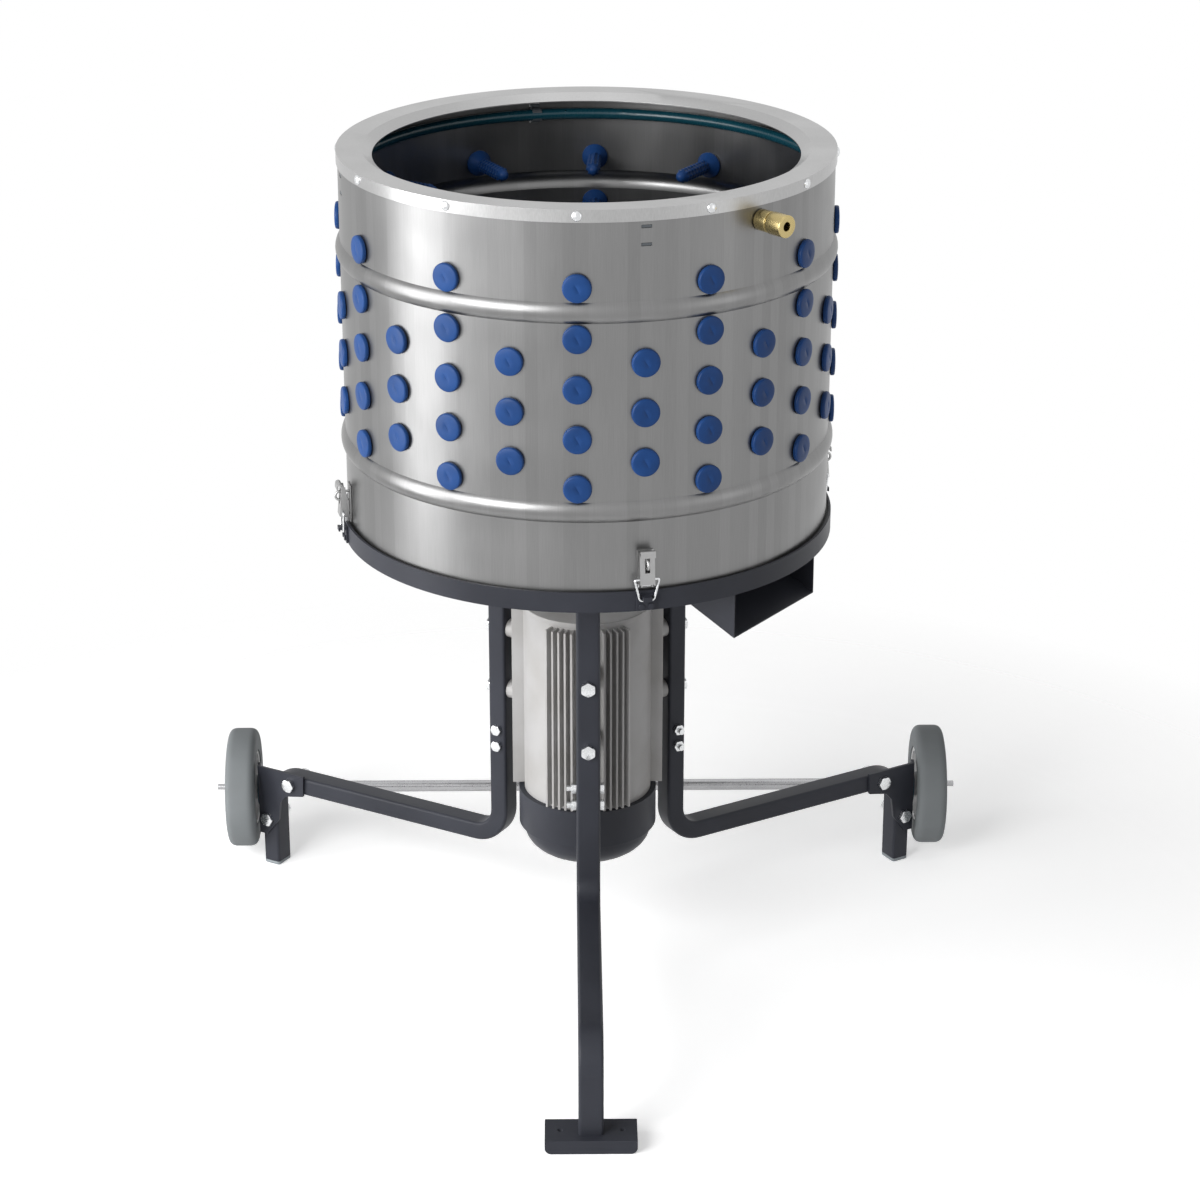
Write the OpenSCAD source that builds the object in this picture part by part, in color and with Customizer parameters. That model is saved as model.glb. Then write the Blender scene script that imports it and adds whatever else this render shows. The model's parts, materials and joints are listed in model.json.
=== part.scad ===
// Drum-type poultry plucker on three bent legs, with a direct-drive motor under the drum.
// Lengths are in millimetres, Z is up and the ground is Z = 0.
// Azimuths are measured round the drum axis from +X; the front leg points to -Y.

/* [Drum] */
// Outer radius of the drum shell
drum_r = 300; // [296:0.5:304]
// Sheet thickness of the drum shell
drum_wall = 1.5; // [1:0.1:2]
// Height of the drum, from the underside of the base ring to the top of the rim
drum_h = 485; // [480:1:498]
// Gap between a rolled bead and the finger heads above and below it
bead_gap = 0.6; // [0.4:0.1:3]
// How far a rolled bead stands out of the shell
bead_depth = 5.5; // [3:0.5:7]
// Width of the slots that the hose clips hook into
slot_w = 12.5; // [10:0.5:16]
// Height of those slots
slot_h = 4; // [3:0.5:5]
// Height between the two slots of a pair
slot_pitch = 21; // [20:0.5:24]

/* [Rim ring] */
// Sheet thickness of the rim ring
rim_wall = 1.5; // [1:0.1:2]
// Height of the rim's outer skirt
rim_skirt_h = 15; // [13:0.5:18]
// Width of the rim's flat top
rim_flat_w = 31; // [26:1:36]
// Run of the sloping inner lip
lip_run = 12.5; // [8:0.5:16]
// Drop of the sloping inner lip
lip_drop = 8.5; // [6:0.5:10]
// Number of rim screws
rim_screws_n = 12; // [6:1:16]
// Depth of the rim screws below the top of the rim
rim_screw_drop = 7.5; // [7:0.25:8]
// Radius of a rim screw's shank
rim_screw_r = 2.5; // [2:0.25:3]
// Radius of a rim screw's domed head
rim_screw_head_r = 6; // [5:0.25:6.5]
// Height of a rim screw's domed head
rim_screw_head_h = 3; // [2:0.25:4]
// Width across the flats of a rim nut
rim_nut_af = 8; // [7:0.5:9]
// Height of a rim nut
rim_nut_h = 4; // [3:0.5:5]

/* [Plucking fingers] */
// Number of finger columns in each of the two interleaved sets
finger_columns = 12; // [8:1:14]
// Azimuth of the first column, in degrees
finger_first_az = -2.5; // [-5:0.5:0]
// Rows in each long column
long_rows = 5; // [3:1:5]
// Rows in each short column
short_rows = 3; // [1:1:3]
// Depth of the top row of fingers below the rim, as a share of the drum's height
finger_top_share = 0.1876; // [0.186:0.0004:0.192]
// Height between the rows of one column, as a share of the drum's height
finger_pitch_share = 0.1242; // [0.1238:0.0002:0.1254]
// Radius of a finger's outer head
finger_head_r = 17; // [14:0.5:17]
// Height of a finger's outer head
finger_head_h = 6.5; // [4:0.5:8]
// Radius of the neck that sits in the sheet
finger_neck_r = 10; // [8:0.5:12]
// Radius of the shoulder behind the sheet
finger_root_r = 16.5; // [14:0.5:18]
// Length of the cone from the shoulder to the body
finger_root_len = 14; // [10:1:20]
// Radius of a finger's body
finger_body_r = 9; // [7:0.5:10]
// Length of a finger from the inner side of the sheet to its tip
finger_len = 78; // [60:1:90]

/* [Spray line] */
// Radius of the spray hose
hose_r = 7; // [5:0.5:8]
// Radius of the hose's bore
hose_bore_r = 5; // [3:0.25:5.5]
// Gap between the hose and the shell
hose_gap = 4; // [3.5:0.5:6]
// Depth of the spray hose below the top of the rim
hose_drop = 32; // [31:0.5:34]
// Number of spray holes
spray_holes_n = 24; // [6:1:36]
// Radius of a spray hole
spray_hole_r = 1; // [0.5:0.1:1.5]
// Azimuth of the water inlet, in degrees
inlet_az = -49; // [-52:1:-46]
// How far the water inlet stands out of the shell
inlet_len = 44; // [36:1:52]
// Radius of the water inlet's outer end
inlet_r = 13.25; // [12:0.25:14]
// Radius of the water inlet's thread in the shell
inlet_thread_r = 10; // [8.5:0.5:11]
// Radius of the water inlet's bore
inlet_bore_r = 5.25; // [4:0.25:6]
// Length of the wide nut part of the inlet next to the shell
inlet_collar_len = 18; // [14:1:22]

/* [Base ring and pan] */
// How far the outer side of the base ring stands out past the shell
ring_out = 6; // [5.6:0.2:8]
// Thickness of the base ring
ring_wall = 3; // [2:0.25:3]
// Height of the underside of the base ring
ring_bottom = 601; // [598:0.5:603]
// Height of the base ring
ring_h = 25; // [24:0.5:27]
// Width of the ring's inward flange
ring_flange_w = 7; // [4:0.5:9]
// Thickness of the pan
pan_t = 2.5; // [2:0.25:3]
// Radius of the hole in the pan round the shaft
pan_hole_r = 20; // [18:0.5:26]
// Height of the rubber seal in the ring
seal_h = 17.2; // [14:0.2:18]

/* [Feather chute] */
// Azimuth that the chute faces, in degrees
chute_az = -36; // [-38:1:-34]
// Width of the chute
chute_w = 180; // [150:1:182]
// Distance of the chute's mouth from the outer side of the base ring
chute_inset = 25; // [25:1:36]
// Distance of the chute's back edge from the drum axis
chute_back = 140; // [134:1:170]
// Height of the lower lip of the mouth
chute_lip_z = 539; // [530:1:560]
// Sheet thickness of the chute
chute_wall = 1.5; // [1:0.25:2.5]
// Width of the chute's side flanges
chute_flange_w = 10; // [6:1:12]

/* [Latches] */
// Azimuth of the first latch, in degrees
latch_az = -77.4; // [-79:0.1:-76]
// Width of a latch's base plate
latch_base_w = 20; // [18:0.5:20.5]
// Height of the lower edge of the base plate
latch_base_bottom = 628.5; // [628:0.5:630]
// Height of the upper edge of the base plate
latch_base_top = 676; // [674:1:690]
// Height of the lever's pivot
pivot_z = 633.6; // [633:0.1:636]
// Distance of the lever's pivot from the shell
pivot_out = 7.5; // [7.4:0.1:8.5]
// Radius of the lever's pivot pin
pivot_pin_r = 1.5; // [1.2:0.1:1.8]
// Thickness of the latch's sheet metal
latch_sheet = 1.5; // [1.2:0.1:1.6]
// Width of a latch lever
lever_w = 18; // [17.4:0.2:19]
// Length of a lever above its pivot
lever_len = 44.5; // [43:0.5:50]
// Lean of a closed lever towards the drum, in degrees
lever_lean = 5; // [4:0.5:6]
// Angle that a lever opens through, in degrees
lever_open = 110; // [60:5:110]
// Radius of the wire of the bails and padlock eyes
latch_wire_r = 1.5; // [1:0.1:1.6]
// Distance of a bail's ears from the lever pivot, outwards
bail_ear_out = 3.5; // [3:0.1:3.8]
// Height of a bail's ears above the lever pivot
bail_ear_up = 8.4; // [8:0.2:9]
// Half width of a bail at its ears
bail_half_w = 15; // [14:0.5:17]
// Half width of a bail at its bar
bail_bar_half_w = 8; // [7.5:0.5:10]
// Height of the underside of a keeper's tongue above the ring's underside
keeper_tongue_z = 16.3; // [16:0.1:17]
// Width of a keeper plate
keeper_w = 24; // [22:1:24]
// Thickness of a keeper plate
keeper_t = 2; // [1.5:0.1:2.2]
// Distance between the two screws of a keeper
keeper_screw_pitch = 12; // [10:0.5:14]
// Radius of a keeper screw
keeper_screw_r = 2; // [1.5:0.25:2.5]
// Radius of a keeper screw's head
keeper_screw_head_r = 3.5; // [3:0.25:4]

/* [Legs] */
// Width of the leg tube, across the radial direction
leg_w = 30; // [28:0.5:32]
// Depth of the leg tube, along the radial direction
leg_d = 25; // [22:0.5:27]
// Wall thickness of the leg tube
leg_wall = 2; // [1.5:0.25:3]
// Radius of the leg tube's outer edges
leg_edge_r = 4; // [3.5:0.5:5]
// Distance of a leg's upright from the drum axis
leg_upright = 128; // [126:0.5:130]
// Distance of a foot's centre from the drum axis
leg_foot = 499.5; // [490:0.5:510]
// Height of the middle of a leg's level run
leg_run_z = 131.5; // [125:0.5:140]
// Radius of the bends, at the middle of the tube
leg_bend_r = 38; // [32:1:44]
// Thickness of the end plugs under the rear feet
cap_t = 5; // [4:0.5:8]
// Length of the end plug inside the tube
cap_plug_len = 15; // [10:1:25]
// Width of the front foot plate
foot_w = 110; // [90:1:130]
// Depth of the front foot plate
foot_d = 50; // [40:1:60]
// Height of the front foot plate
foot_h = 18; // [14:0.5:24]
// Sheet thickness of the front foot plate
foot_t = 3; // [2:0.25:4]
// Distance between the two holes in the foot plate
foot_hole_pitch = 74; // [64:1:84]
// Radius of the holes in the foot plate
foot_hole_r = 3.25; // [2.5:0.25:5]

/* [Bolts] */
// Heights of the bolts that hold the motor to each leg: the upper one
motor_bolt_upper_z = 431; // [420:1:440]
// Height of the lower of those bolts
motor_bolt_lower_z = 345; // [330:1:360]
// Radius of the shank of the motor and bracket bolts
bolt_r = 5; // [4:0.25:5.5]
// Width across the flats of those bolts
bolt_af = 17; // [15:0.5:18]
// Height of the heads of those bolts
bolt_head_h = 6.4; // [5:0.2:8]
// Height of the nuts on the bracket bolts
bolt_nut_h = 8; // [6:0.5:9]
// Height of the upper cross bolt in each leg
cross_bolt_upper_z = 288.8; // [284:0.2:295]
// Height of the lower cross bolt in each leg
cross_bolt_lower_z = 265.7; // [260:0.2:269]
// Radius of a cross bolt's shank
cross_bolt_r = 4; // [3:0.25:4.5]
// Width across the flats of a cross bolt
cross_bolt_af = 13; // [11:0.5:14]
// Height of a cross bolt's head
cross_bolt_head_h = 5.3; // [4:0.1:6]
// Height of a cross bolt's nut
cross_nut_h = 6.5; // [5:0.5:7]
// How far a cross bolt's end stands out of its nut
cross_stud_len = 6; // [2:0.5:10]
// Length of the sleeve inside a leg at the cross bolts
sleeve_len = 70; // [56:1:90]

/* [Wheels] */
// Outer radius of a tyre
tyre_r = 82.5; // [76:0.5:84]
// Width of a tyre
tyre_w = 40; // [32:1:44]
// Radius of a tyre's shoulders
tyre_shoulder_r = 10; // [5:0.5:12]
// Radius of a tyre's seat on its hub
tyre_seat_r = 52; // [46:1:58]
// Distance of the wheels behind the rear feet
wheel_back = 35.25; // [30.25:0.5:45.25]
// Height of the wheels' axle
wheel_z = 96; // [92:0.5:100]
// Distance of a wheel's inner side from the middle of the rear foot, along the axle
wheel_out = 26.4; // [26:0.2:31]
// Radius of the axle
axle_r = 8; // [6:0.25:9]
// Radius of the thin end of the axle
axle_end_r = 4; // [3:0.25:5]
// How far an axle end stands out of its wheel
axle_end_len = 17; // [10:0.5:20]
// Radius of the cap on an axle end
axle_cap_r = 9.5; // [9:0.25:12]
// Thickness of the cap on an axle end
axle_cap_t = 3; // [2:0.25:4]
// Radius of a wheel's coloured washer
washer_r = 25; // [18:0.5:28]
// Radius of a wheel's boss
boss_r = 17; // [15:0.5:22]
// Thickness of a wheel's web
web_t = 8; // [5:0.5:12]
// Thickness of a wheel bracket
bracket_t = 4; // [3:0.25:5]
// Radius of a bracket's end round the axle
bracket_end_r = 22; // [16:0.5:26]
// Distance of a bracket's upper bolt from the middle of the foot, along the leg
bracket_bolt_in = 37.5; // [37:0.5:40]
// Height of that bolt above a bracket's lower bolt
bracket_bolt_drop = 60; // [56:1:62]

/* [Motor] */
// Radius of the motor housing
motor_r = 82; // [78:0.5:84]
// Wall of the motor housing
motor_wall = 8; // [6:0.5:8]
// Radius over the cooling fins
fin_r = 97; // [90:0.5:100]
// Thickness of a cooling fin
fin_t = 2.6; // [1.5:0.1:4]
// Height of the lower end of the housing
motor_bottom = 238; // [232:0.5:240]
// Height of the upper end of the housing
motor_top = 487; // [480:0.5:495]
// Thickness of the end shields
shield_t = 8; // [7:0.5:10]
// Radius of the rim of the upper end shield
shield_r = 83.5; // [83:0.25:86]
// Radius of the bosses for the leg bolts
motor_boss_r = 12; // [9:0.5:13]
// Depth of the threaded holes in those bosses
motor_boss_hole = 25; // [15:1:28]
// Radius of the fan cover
cover_r = 89; // [87:0.5:92]
// Wall of the fan cover
cover_wall = 1.5; // [1:0.1:2.5]
// Height of the step between the fan cover's band and its dome
cover_step_z = 183; // [178:0.5:190]
// Radius of the dome of the fan cover
cover_dome_r = 83; // [80:0.5:85]
// Height of the bottom of the dome
cover_bottom = 140; // [134:1:150]
// Number of vent slots in each ring of the dome
vents_n = 20; // [8:1:24]
// Radius of the shaft
shaft_r = 12.5; // [10:0.25:14]
// Outer radius of the bearings
bearing_r = 26; // [24:0.5:30]
// Width of the bearings
bearing_w = 15; // [10:0.5:18]
// Outer radius of the stator's windings
winding_r = 70; // [60:0.5:73]
// Radius of the stator's bore
stator_bore_r = 45; // [38:0.5:50]
// Length of the stator's core
stator_len = 140; // [110:1:150]
// Gap between the stator and the rotor
air_gap = 0.7; // [0.4:0.1:1.5]
// Number of fan blades
fan_blades_n = 8; // [5:1:12]
// Radius of the fan
fan_r = 76; // [60:1:79]
// Width of the terminal box
box_w = 90; // [70:1:110]
// Height of the terminal box
box_h = 100; // [80:1:120]
// Depth of the terminal box
box_d = 46; // [35:1:60]
// Wall of the terminal box
box_wall = 2.5; // [2:0.25:3.5]
// Height of the middle of the terminal box
box_z = 400; // [380:1:420]

/* [Feather plate] */
// Gap between the edge of the rotating plate and the shell's outer radius
plate_gap = 20; // [12:1:30]
// Thickness of the rotating plate
plate_t = 3; // [2:0.25:4]
// Height of the underside of the rotating plate
plate_z = 630; // [626:0.5:636]
// Length of a plate finger
plate_finger_len = 78; // [60:1:84]
// Distance of the outer ring of plate fingers from the plate's edge
plate_ring_inset = 37; // [26:1:44]
// Distance between the three rings of plate fingers
plate_ring_step = 66.5; // [62:0.5:68]
// Radius of the hub's flange
hub_r = 45; // [38:1:50]
// Thickness of the hub's flange
hub_t = 8; // [6:0.5:10]
// Radius of the hub's boss
hub_boss_r = 24; // [20:0.5:26]
// Radius of the cap over the shaft's end
shaft_cap_r = 26; // [22:0.5:30]
// Number of bolts through the hub's flange
hub_bolts_n = 4; // [3:1:8]
// Radius of those bolts
hub_bolt_r = 4; // [3:0.25:4.5]

/* [Fits] */
// Clearance of a shaft in its bore
run_fit = 0.05; // [0.02:0.01:0.09]
// Gap between pieces that don't touch
gap = 0.3; // [0.2:0.05:0.35]
// Clearance of a bolt in its hole
hole_fit = 0.25; // [0.15:0.05:0.4]

/* [Hidden] */
$fn = 64;

// Azimuths of the front leg, the right rear leg and the left rear leg
leg_az = [-90, 30, 150];
wheel_y = leg_foot*sin(leg_az[1]) + wheel_back;
// The middle of the object's box lies over the origin, so the drum axis lies behind it.
axis_y = (leg_foot + foot_d/2 - wheel_y - tyre_r)/2;

shell_in = drum_r - drum_wall;
ring_r = drum_r + ring_out;
pan_z = ring_bottom + ring_wall;
pan_top = pan_z + pan_t;
ring_top = ring_bottom + ring_h;
shell_bottom = pan_top + gap;
rim_top = ring_bottom + drum_h;
rim_z = rim_top - rim_wall;
shell_top = rim_z - gap;
skirt_in = drum_r + gap;
skirt_r = skirt_in + rim_wall;
rim_flat_in = skirt_r - rim_flat_w;
rim_screw_z = rim_top - rim_screw_drop;

finger_step = 360/finger_columns;
finger_top_z = rim_top - drum_h*finger_top_share;
finger_pitch = drum_h*finger_pitch_share;
// Rows of each set: the share of a step that its columns are turned by, and each row's height
long_column = [for (i = [0:long_rows - 1]) [0, finger_top_z - finger_pitch*i]];
short_column = [for (i = [0:short_rows - 1]) [0.5, finger_top_z - finger_pitch*(i + 1.5)]];

// The beads lie midway between rows of heads
bead_h = finger_pitch - 2*finger_head_r - 2*bead_gap;
bead_upper_z = finger_top_z - finger_pitch/2;
bead_lower_z = finger_top_z - finger_pitch*(long_rows - 0.5);

hose_z = rim_top - hose_drop;
hose_ring_r = shell_in - hose_gap - hose_r + 0.5;

latch_foot = drum_r + gap;
pivot_r = drum_r + pivot_out;
ear_r = pivot_r + bail_ear_out;
ear_z = pivot_z + bail_ear_up;
keeper_face = ring_r + gap + keeper_t;
tongue_z = ring_bottom + keeper_tongue_z;
bar_z = tongue_z - gap - latch_wire_r;
plate_out = bail_ear_out*cos(lever_lean) + bail_ear_up*sin(lever_lean) + latch_wire_r + run_fit + 0.5;
ear_in_w = lever_w/2 - latch_sheet - gap - latch_sheet;

leg_in = leg_upright - leg_d/2;
leg_out = leg_upright + leg_d/2;
leg_top = pan_z;
chute_mouth = ring_r - chute_inset;

wheel_x = leg_foot*cos(leg_az[1]) + wheel_out;
tyre_x = wheel_x + gap;
bracket_x = wheel_x - bracket_t - 4;
axle_x = wheel_x + tyre_w + 1;
axle_tip = wheel_x + tyre_w + axle_end_len;

plate_r = drum_r - plate_gap;
shaft_bottom = cover_step_z + 4;
shaft_top = plate_z + plate_t + 14;
stator_mid = (motor_bottom + motor_top)/2;
lower_bearing_z = motor_bottom - shield_t + 3 + bearing_w/2;
upper_bearing_z = motor_top - bearing_w/2 - 2;

// Polar copy about the drum axis
module at_az(a) {
    rotate([0, 0, a]) children();
}

// Everything stands on the drum axis
module on_axis() {
    translate([0, axis_y, 0]) children();
}

// A plain ring with its lower face at z
module ring(r_out, r_in, z, h, fn = 96) {
    translate([0, 0, z]) difference() {
        cylinder(r = r_out, h = h, $fn = fn);
        translate([0, 0, -1]) cylinder(r = r_in, h = h + 2, $fn = fn);
    }
}

// A rod along the radial direction, from radius a to radius b
module radial_rod(r, a, b) {
    translate([a, 0, 0]) rotate([0, 90, 0]) cylinder(r = r, h = b - a);
}

// A hexagonal prism along the radial direction, from radius a to radius b
module radial_hex(af, a, b) {
    translate([a, 0, 0]) rotate([0, 90, 0]) cylinder(r = af/sqrt(3), h = b - a, $fn = 6);
}

// A rod across the radial direction, from y = a to y = b
module cross_rod(r, a, b) {
    translate([0, b, 0]) rotate([90, 0, 0]) cylinder(r = r, h = b - a);
}

// A hexagonal prism across the radial direction, from y = a to y = b
module cross_hex(af, a, b) {
    translate([0, b, 0]) rotate([90, 0, 0]) cylinder(r = af/sqrt(3), h = b - a, $fn = 6);
}

// Rectangle with rounded corners
module rounded_rect(w, h, r) {
    square([w - 2*r, h], center = true);
    square([w, h - 2*r], center = true);
    for (x = [-1, 1], y = [-1, 1])
        translate([x*(w/2 - r), y*(h/2 - r)]) circle(r, $fn = 32);
}

// A profile in the (radial, Z) plane, given a width across it
module across(w) {
    rotate([90, 0, 0]) linear_extrude(w, center = true) children();
}

// Places of the drum fingers, with X pointing out of the drum
module finger_places(rows) {
    for (c = [0:finger_columns - 1], row = rows)
        at_az(finger_first_az + finger_step*(c + row[0])) translate([0, 0, row[1]]) children();
}

// Places of the rim screws
module rim_screw_places() {
    for (i = [0:rim_screws_n - 1])
        at_az(finger_first_az + 360/rim_screws_n*i) translate([0, 0, rim_screw_z]) children();
}

// Places of the latches
module latch_places() {
    for (i = [0:3]) at_az(latch_az + 90*i) children();
}

// Places of one keeper's two screws
module keeper_screw_places() {
    for (side = [-1, 1])
        translate([0, side*keeper_screw_pitch/2, ring_bottom + 6.4]) children();
}

// Shell: a tube with two hollow rolled beads, finger holes, slots, screw holes and the inlet hole
module shell_profile() {
    bead_circle_r = (bead_h*bead_h/4 + bead_depth*bead_depth)/(2*bead_depth);
    bead_mid = drum_r + bead_depth - bead_circle_r;
    difference() {
        union() {
            translate([shell_in, shell_bottom]) square([drum_wall, shell_top - shell_bottom]);
            for (z = [bead_lower_z, bead_upper_z]) intersection() {
                translate([bead_mid, z]) circle(bead_circle_r);
                translate([shell_in, z - bead_h]) square([20, 2*bead_h]);
            }
        }
        for (z = [bead_lower_z, bead_upper_z])
            translate([bead_mid, z]) circle(bead_circle_r - drum_wall);
    }
}

module drum_shell() {
    color("silver") difference() {
        rotate_extrude($fn = 128) shell_profile();
        finger_places(concat(long_column, short_column))
            radial_rod(finger_neck_r + gap, shell_in - 5, drum_r + 5);
        rim_screw_places() radial_rod(rim_screw_r + hole_fit, shell_in - 5, drum_r + 5);
        at_az(inlet_az) translate([0, 0, hose_z])
            radial_rod(inlet_thread_r + gap, shell_in - 5, drum_r + 5);
        latch_places() for (side = [-1, 1])
            translate([drum_r, 0, hose_z + side*slot_pitch/2])
                cube([20, slot_w, slot_h], center = true);
    }
}

// Rim: skirt, flat top and a lip that slopes into the drum
module rim_ring() {
    color("silver") difference() {
        rotate_extrude($fn = 128) polygon([
            [skirt_in, rim_top - rim_skirt_h], [skirt_r, rim_top - rim_skirt_h],
            [skirt_r, rim_top], [rim_flat_in, rim_top],
            [rim_flat_in - lip_run, rim_top - lip_drop],
            [rim_flat_in - lip_run, rim_top - lip_drop - rim_wall],
            [rim_flat_in, rim_z], [skirt_in, rim_z]]);
        rim_screw_places() radial_rod(rim_screw_r + hole_fit, drum_r - 5, drum_r + 10);
    }
}

module rim_screws() {
    // The shank and the domed head are turned in one piece
    dome = [for (a = [0:22.5:90]) [rim_screw_head_r*cos(a), skirt_r + rim_screw_head_h*sin(a)]];
    end = shell_in - rim_nut_h - 2;
    color("gainsboro") rim_screw_places() rotate([0, 90, 0]) rotate_extrude($fn = 32)
        polygon(concat([[0, end], [rim_screw_r, end], [rim_screw_r, skirt_r]], dome));
    // Nuts inside the shell
    color("gainsboro") rim_screw_places() difference() {
        radial_hex(rim_nut_af, shell_in - gap - rim_nut_h, shell_in - gap);
        radial_rod(rim_screw_r + run_fit, shell_in - 10, shell_in + 1);
    }
}

// Spray hose: a ring tube with small holes that point inwards and down
module spray_hose() {
    color("teal") difference() {
        rotate_extrude($fn = 128) translate([hose_ring_r, hose_z]) difference() {
            circle(hose_r, $fn = 32);
            circle(hose_bore_r, $fn = 32);
        }
        for (i = [0:spray_holes_n - 1]) at_az(finger_first_az + 360/spray_holes_n*(i + 0.5))
            translate([hose_ring_r, 0, hose_z]) rotate([0, 45, 0])
                radial_rod(spray_hole_r, -hose_r - 2, 0);
        at_az(inlet_az) translate([0, 0, hose_z])
            radial_rod(hose_bore_r - 0.5, hose_ring_r, hose_ring_r + hose_r + 2);
    }
}

// Hose clips: a hook round the hose, with its two tongues in the slots of the shell
module hose_clips() {
    t = slot_h - 1;
    tongue = slot_pitch/2;
    face = shell_in - gap - 1.2;
    color("gray") latch_places() translate([0, 0, hose_z]) {
        for (side = [-1, 1])
            translate([face, -slot_w/2 + gap, side*tongue - t/2])
                cube([drum_r - 0.4 - face, slot_w - 2*gap, t]);
        translate([face - 1.2, -slot_w/2 + gap, -tongue - t/2])
            cube([1.3, slot_w - 2*gap, 2*tongue + t]);
        across(slot_w - 2*gap) translate([hose_ring_r, 0]) difference() {
            union() {
                circle(hose_r + gap + 1.2, $fn = 32);
                translate([0, -hose_r - gap - 1.2])
                    square([face - hose_ring_r, 2*(hose_r + gap + 1.2)]);
            }
            circle(hose_r + gap, $fn = 32);
            translate([-30, -4]) square([30, 8]);
            translate([0, -hose_r - gap]) square([face - hose_ring_r - 1.2, 2*(hose_r + gap)]);
        }
    }
}

// Water inlet: collar, step, hose end, thread through the shell and tail in the hose
module water_inlet() {
    step = drum_r + gap + inlet_collar_len;
    tip = drum_r + inlet_len;
    tail = hose_ring_r + hose_bore_r - 1;
    color("gold") at_az(inlet_az) translate([0, 0, hose_z]) difference() {
        union() {
            radial_rod(inlet_r - 0.75, drum_r + gap + 1, step);
            radial_rod(inlet_r - 2.5, step - 1, step + 3);
            radial_rod(inlet_r, step + 2.5, tip);
            radial_rod(inlet_thread_r, hose_ring_r + hose_r + gap, drum_r + gap + 2);
            radial_rod(hose_bore_r - 0.8, tail, hose_ring_r + hose_r + 2);
        }
        radial_rod(inlet_bore_r, drum_r, tip + 1);
        radial_rod(hose_bore_r - 2, tail - 1, drum_r + 1);
    }
    // The lock nut is a slim hexagon on the inlet's thread
    back = shell_in - gap - 0.6;
    color("gold") at_az(inlet_az) translate([0, 0, hose_z]) difference() {
        radial_hex(2*inlet_thread_r + 6, hose_ring_r + hose_r + gap, back);
        radial_rod(inlet_thread_r + run_fit, hose_ring_r, drum_r);
    }
}

// Rubber finger along X: head outside, neck through the sheet, cone, body and domed tip.
// The sheet's inner side is at radius face and its outer side at radius head.
module finger(face, head, len) {
    tip = face - len;
    dome = [for (a = [0:30:90]) [finger_body_r*sin(a), tip + finger_body_r*(1 - cos(a))]];
    rotate([0, 90, 0]) rotate_extrude($fn = 32) polygon(concat(dome, [
        [finger_body_r, face - finger_root_len], [finger_root_r, face - 3],
        [finger_root_r, face], [finger_neck_r, face], [finger_neck_r, head],
        [finger_head_r, head], [finger_head_r, head + finger_head_h - 2],
        [finger_head_r - 2, head + finger_head_h], [0, head + finger_head_h]]));
}

module long_column_fingers() {
    color("royalblue") finger_places(long_column)
        finger(shell_in - 0.8, drum_r + gap, finger_len);
}

module short_column_fingers() {
    color("royalblue") finger_places(short_column)
        finger(shell_in - 0.8, drum_r + gap, finger_len);
}

// Latch base: a plate on the shell, two ears for the lever's pin and a padlock eye
module latch_base() {
    ear_r_out = pivot_pin_r + 2;
    eye_z = pivot_z + 27.5;
    eye_half = 5.5;
    eye_reach = pivot_r + 5.5;
    difference() {
        union() {
            translate([latch_foot, -latch_base_w/2, latch_base_bottom])
                cube([latch_sheet, latch_base_w, latch_base_top - latch_base_bottom]);
            for (side = [-1, 1]) translate([0, side*(ear_in_w + latch_sheet/2), 0]) {
                translate([pivot_r, 0, pivot_z]) rotate([90, 0, 0])
                    cylinder(r = ear_r_out, h = latch_sheet, center = true);
                translate([latch_foot + latch_sheet/2, -latch_sheet/2, pivot_z - ear_r_out])
                    cube([pivot_r - latch_foot - latch_sheet/2, latch_sheet, 2*ear_r_out]);
            }
            for (side = [-1, 1]) translate([0, 0, eye_z + side*eye_half])
                radial_rod(latch_wire_r, latch_foot + latch_sheet/2, eye_reach);
            translate([eye_reach, 0, eye_z]) rotate([90, 0, 0]) rotate([0, 0, -90])
                rotate_extrude(angle = 180) translate([eye_half, 0]) circle(latch_wire_r, $fn = 32);
        }
        translate([pivot_r, 0, pivot_z]) cross_rod(pivot_pin_r + 0.02, -latch_base_w, latch_base_w);
    }
}

module latch_bases() {
    color("silver") latch_places() latch_base();
}

module latch_pins() {
    color("gainsboro") latch_places() translate([pivot_r, 0, pivot_z]) {
        cross_rod(pivot_pin_r, -lever_w/2 - 1, lever_w/2 + 1);
        for (side = [-1, 1]) translate([0, side*(lever_w/2 + 0.9), 0])
            cross_rod(pivot_pin_r + 1, -0.6, 0.6);
    }
}

// Lever: a channel with a slot over the padlock eye and a curled lip at its top.
// Its profile's x runs outwards from the pivot and its y runs up.
module lever_outline() {
    curl_r = 3.5;
    heel = 2;
    curl_y = lever_len - curl_r;
    translate([plate_out, heel]) square([latch_sheet, curl_y - heel]);
    translate([plate_out + curl_r, curl_y]) difference() {
        circle(curl_r, $fn = 32);
        circle(curl_r - latch_sheet, $fn = 32);
        translate([-curl_r - 1, -curl_r - 1]) square([2*curl_r + 2, curl_r + 1]);
    }
    translate([plate_out + 2*curl_r - latch_sheet, curl_y - 5]) square([latch_sheet, 5]);
}

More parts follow.
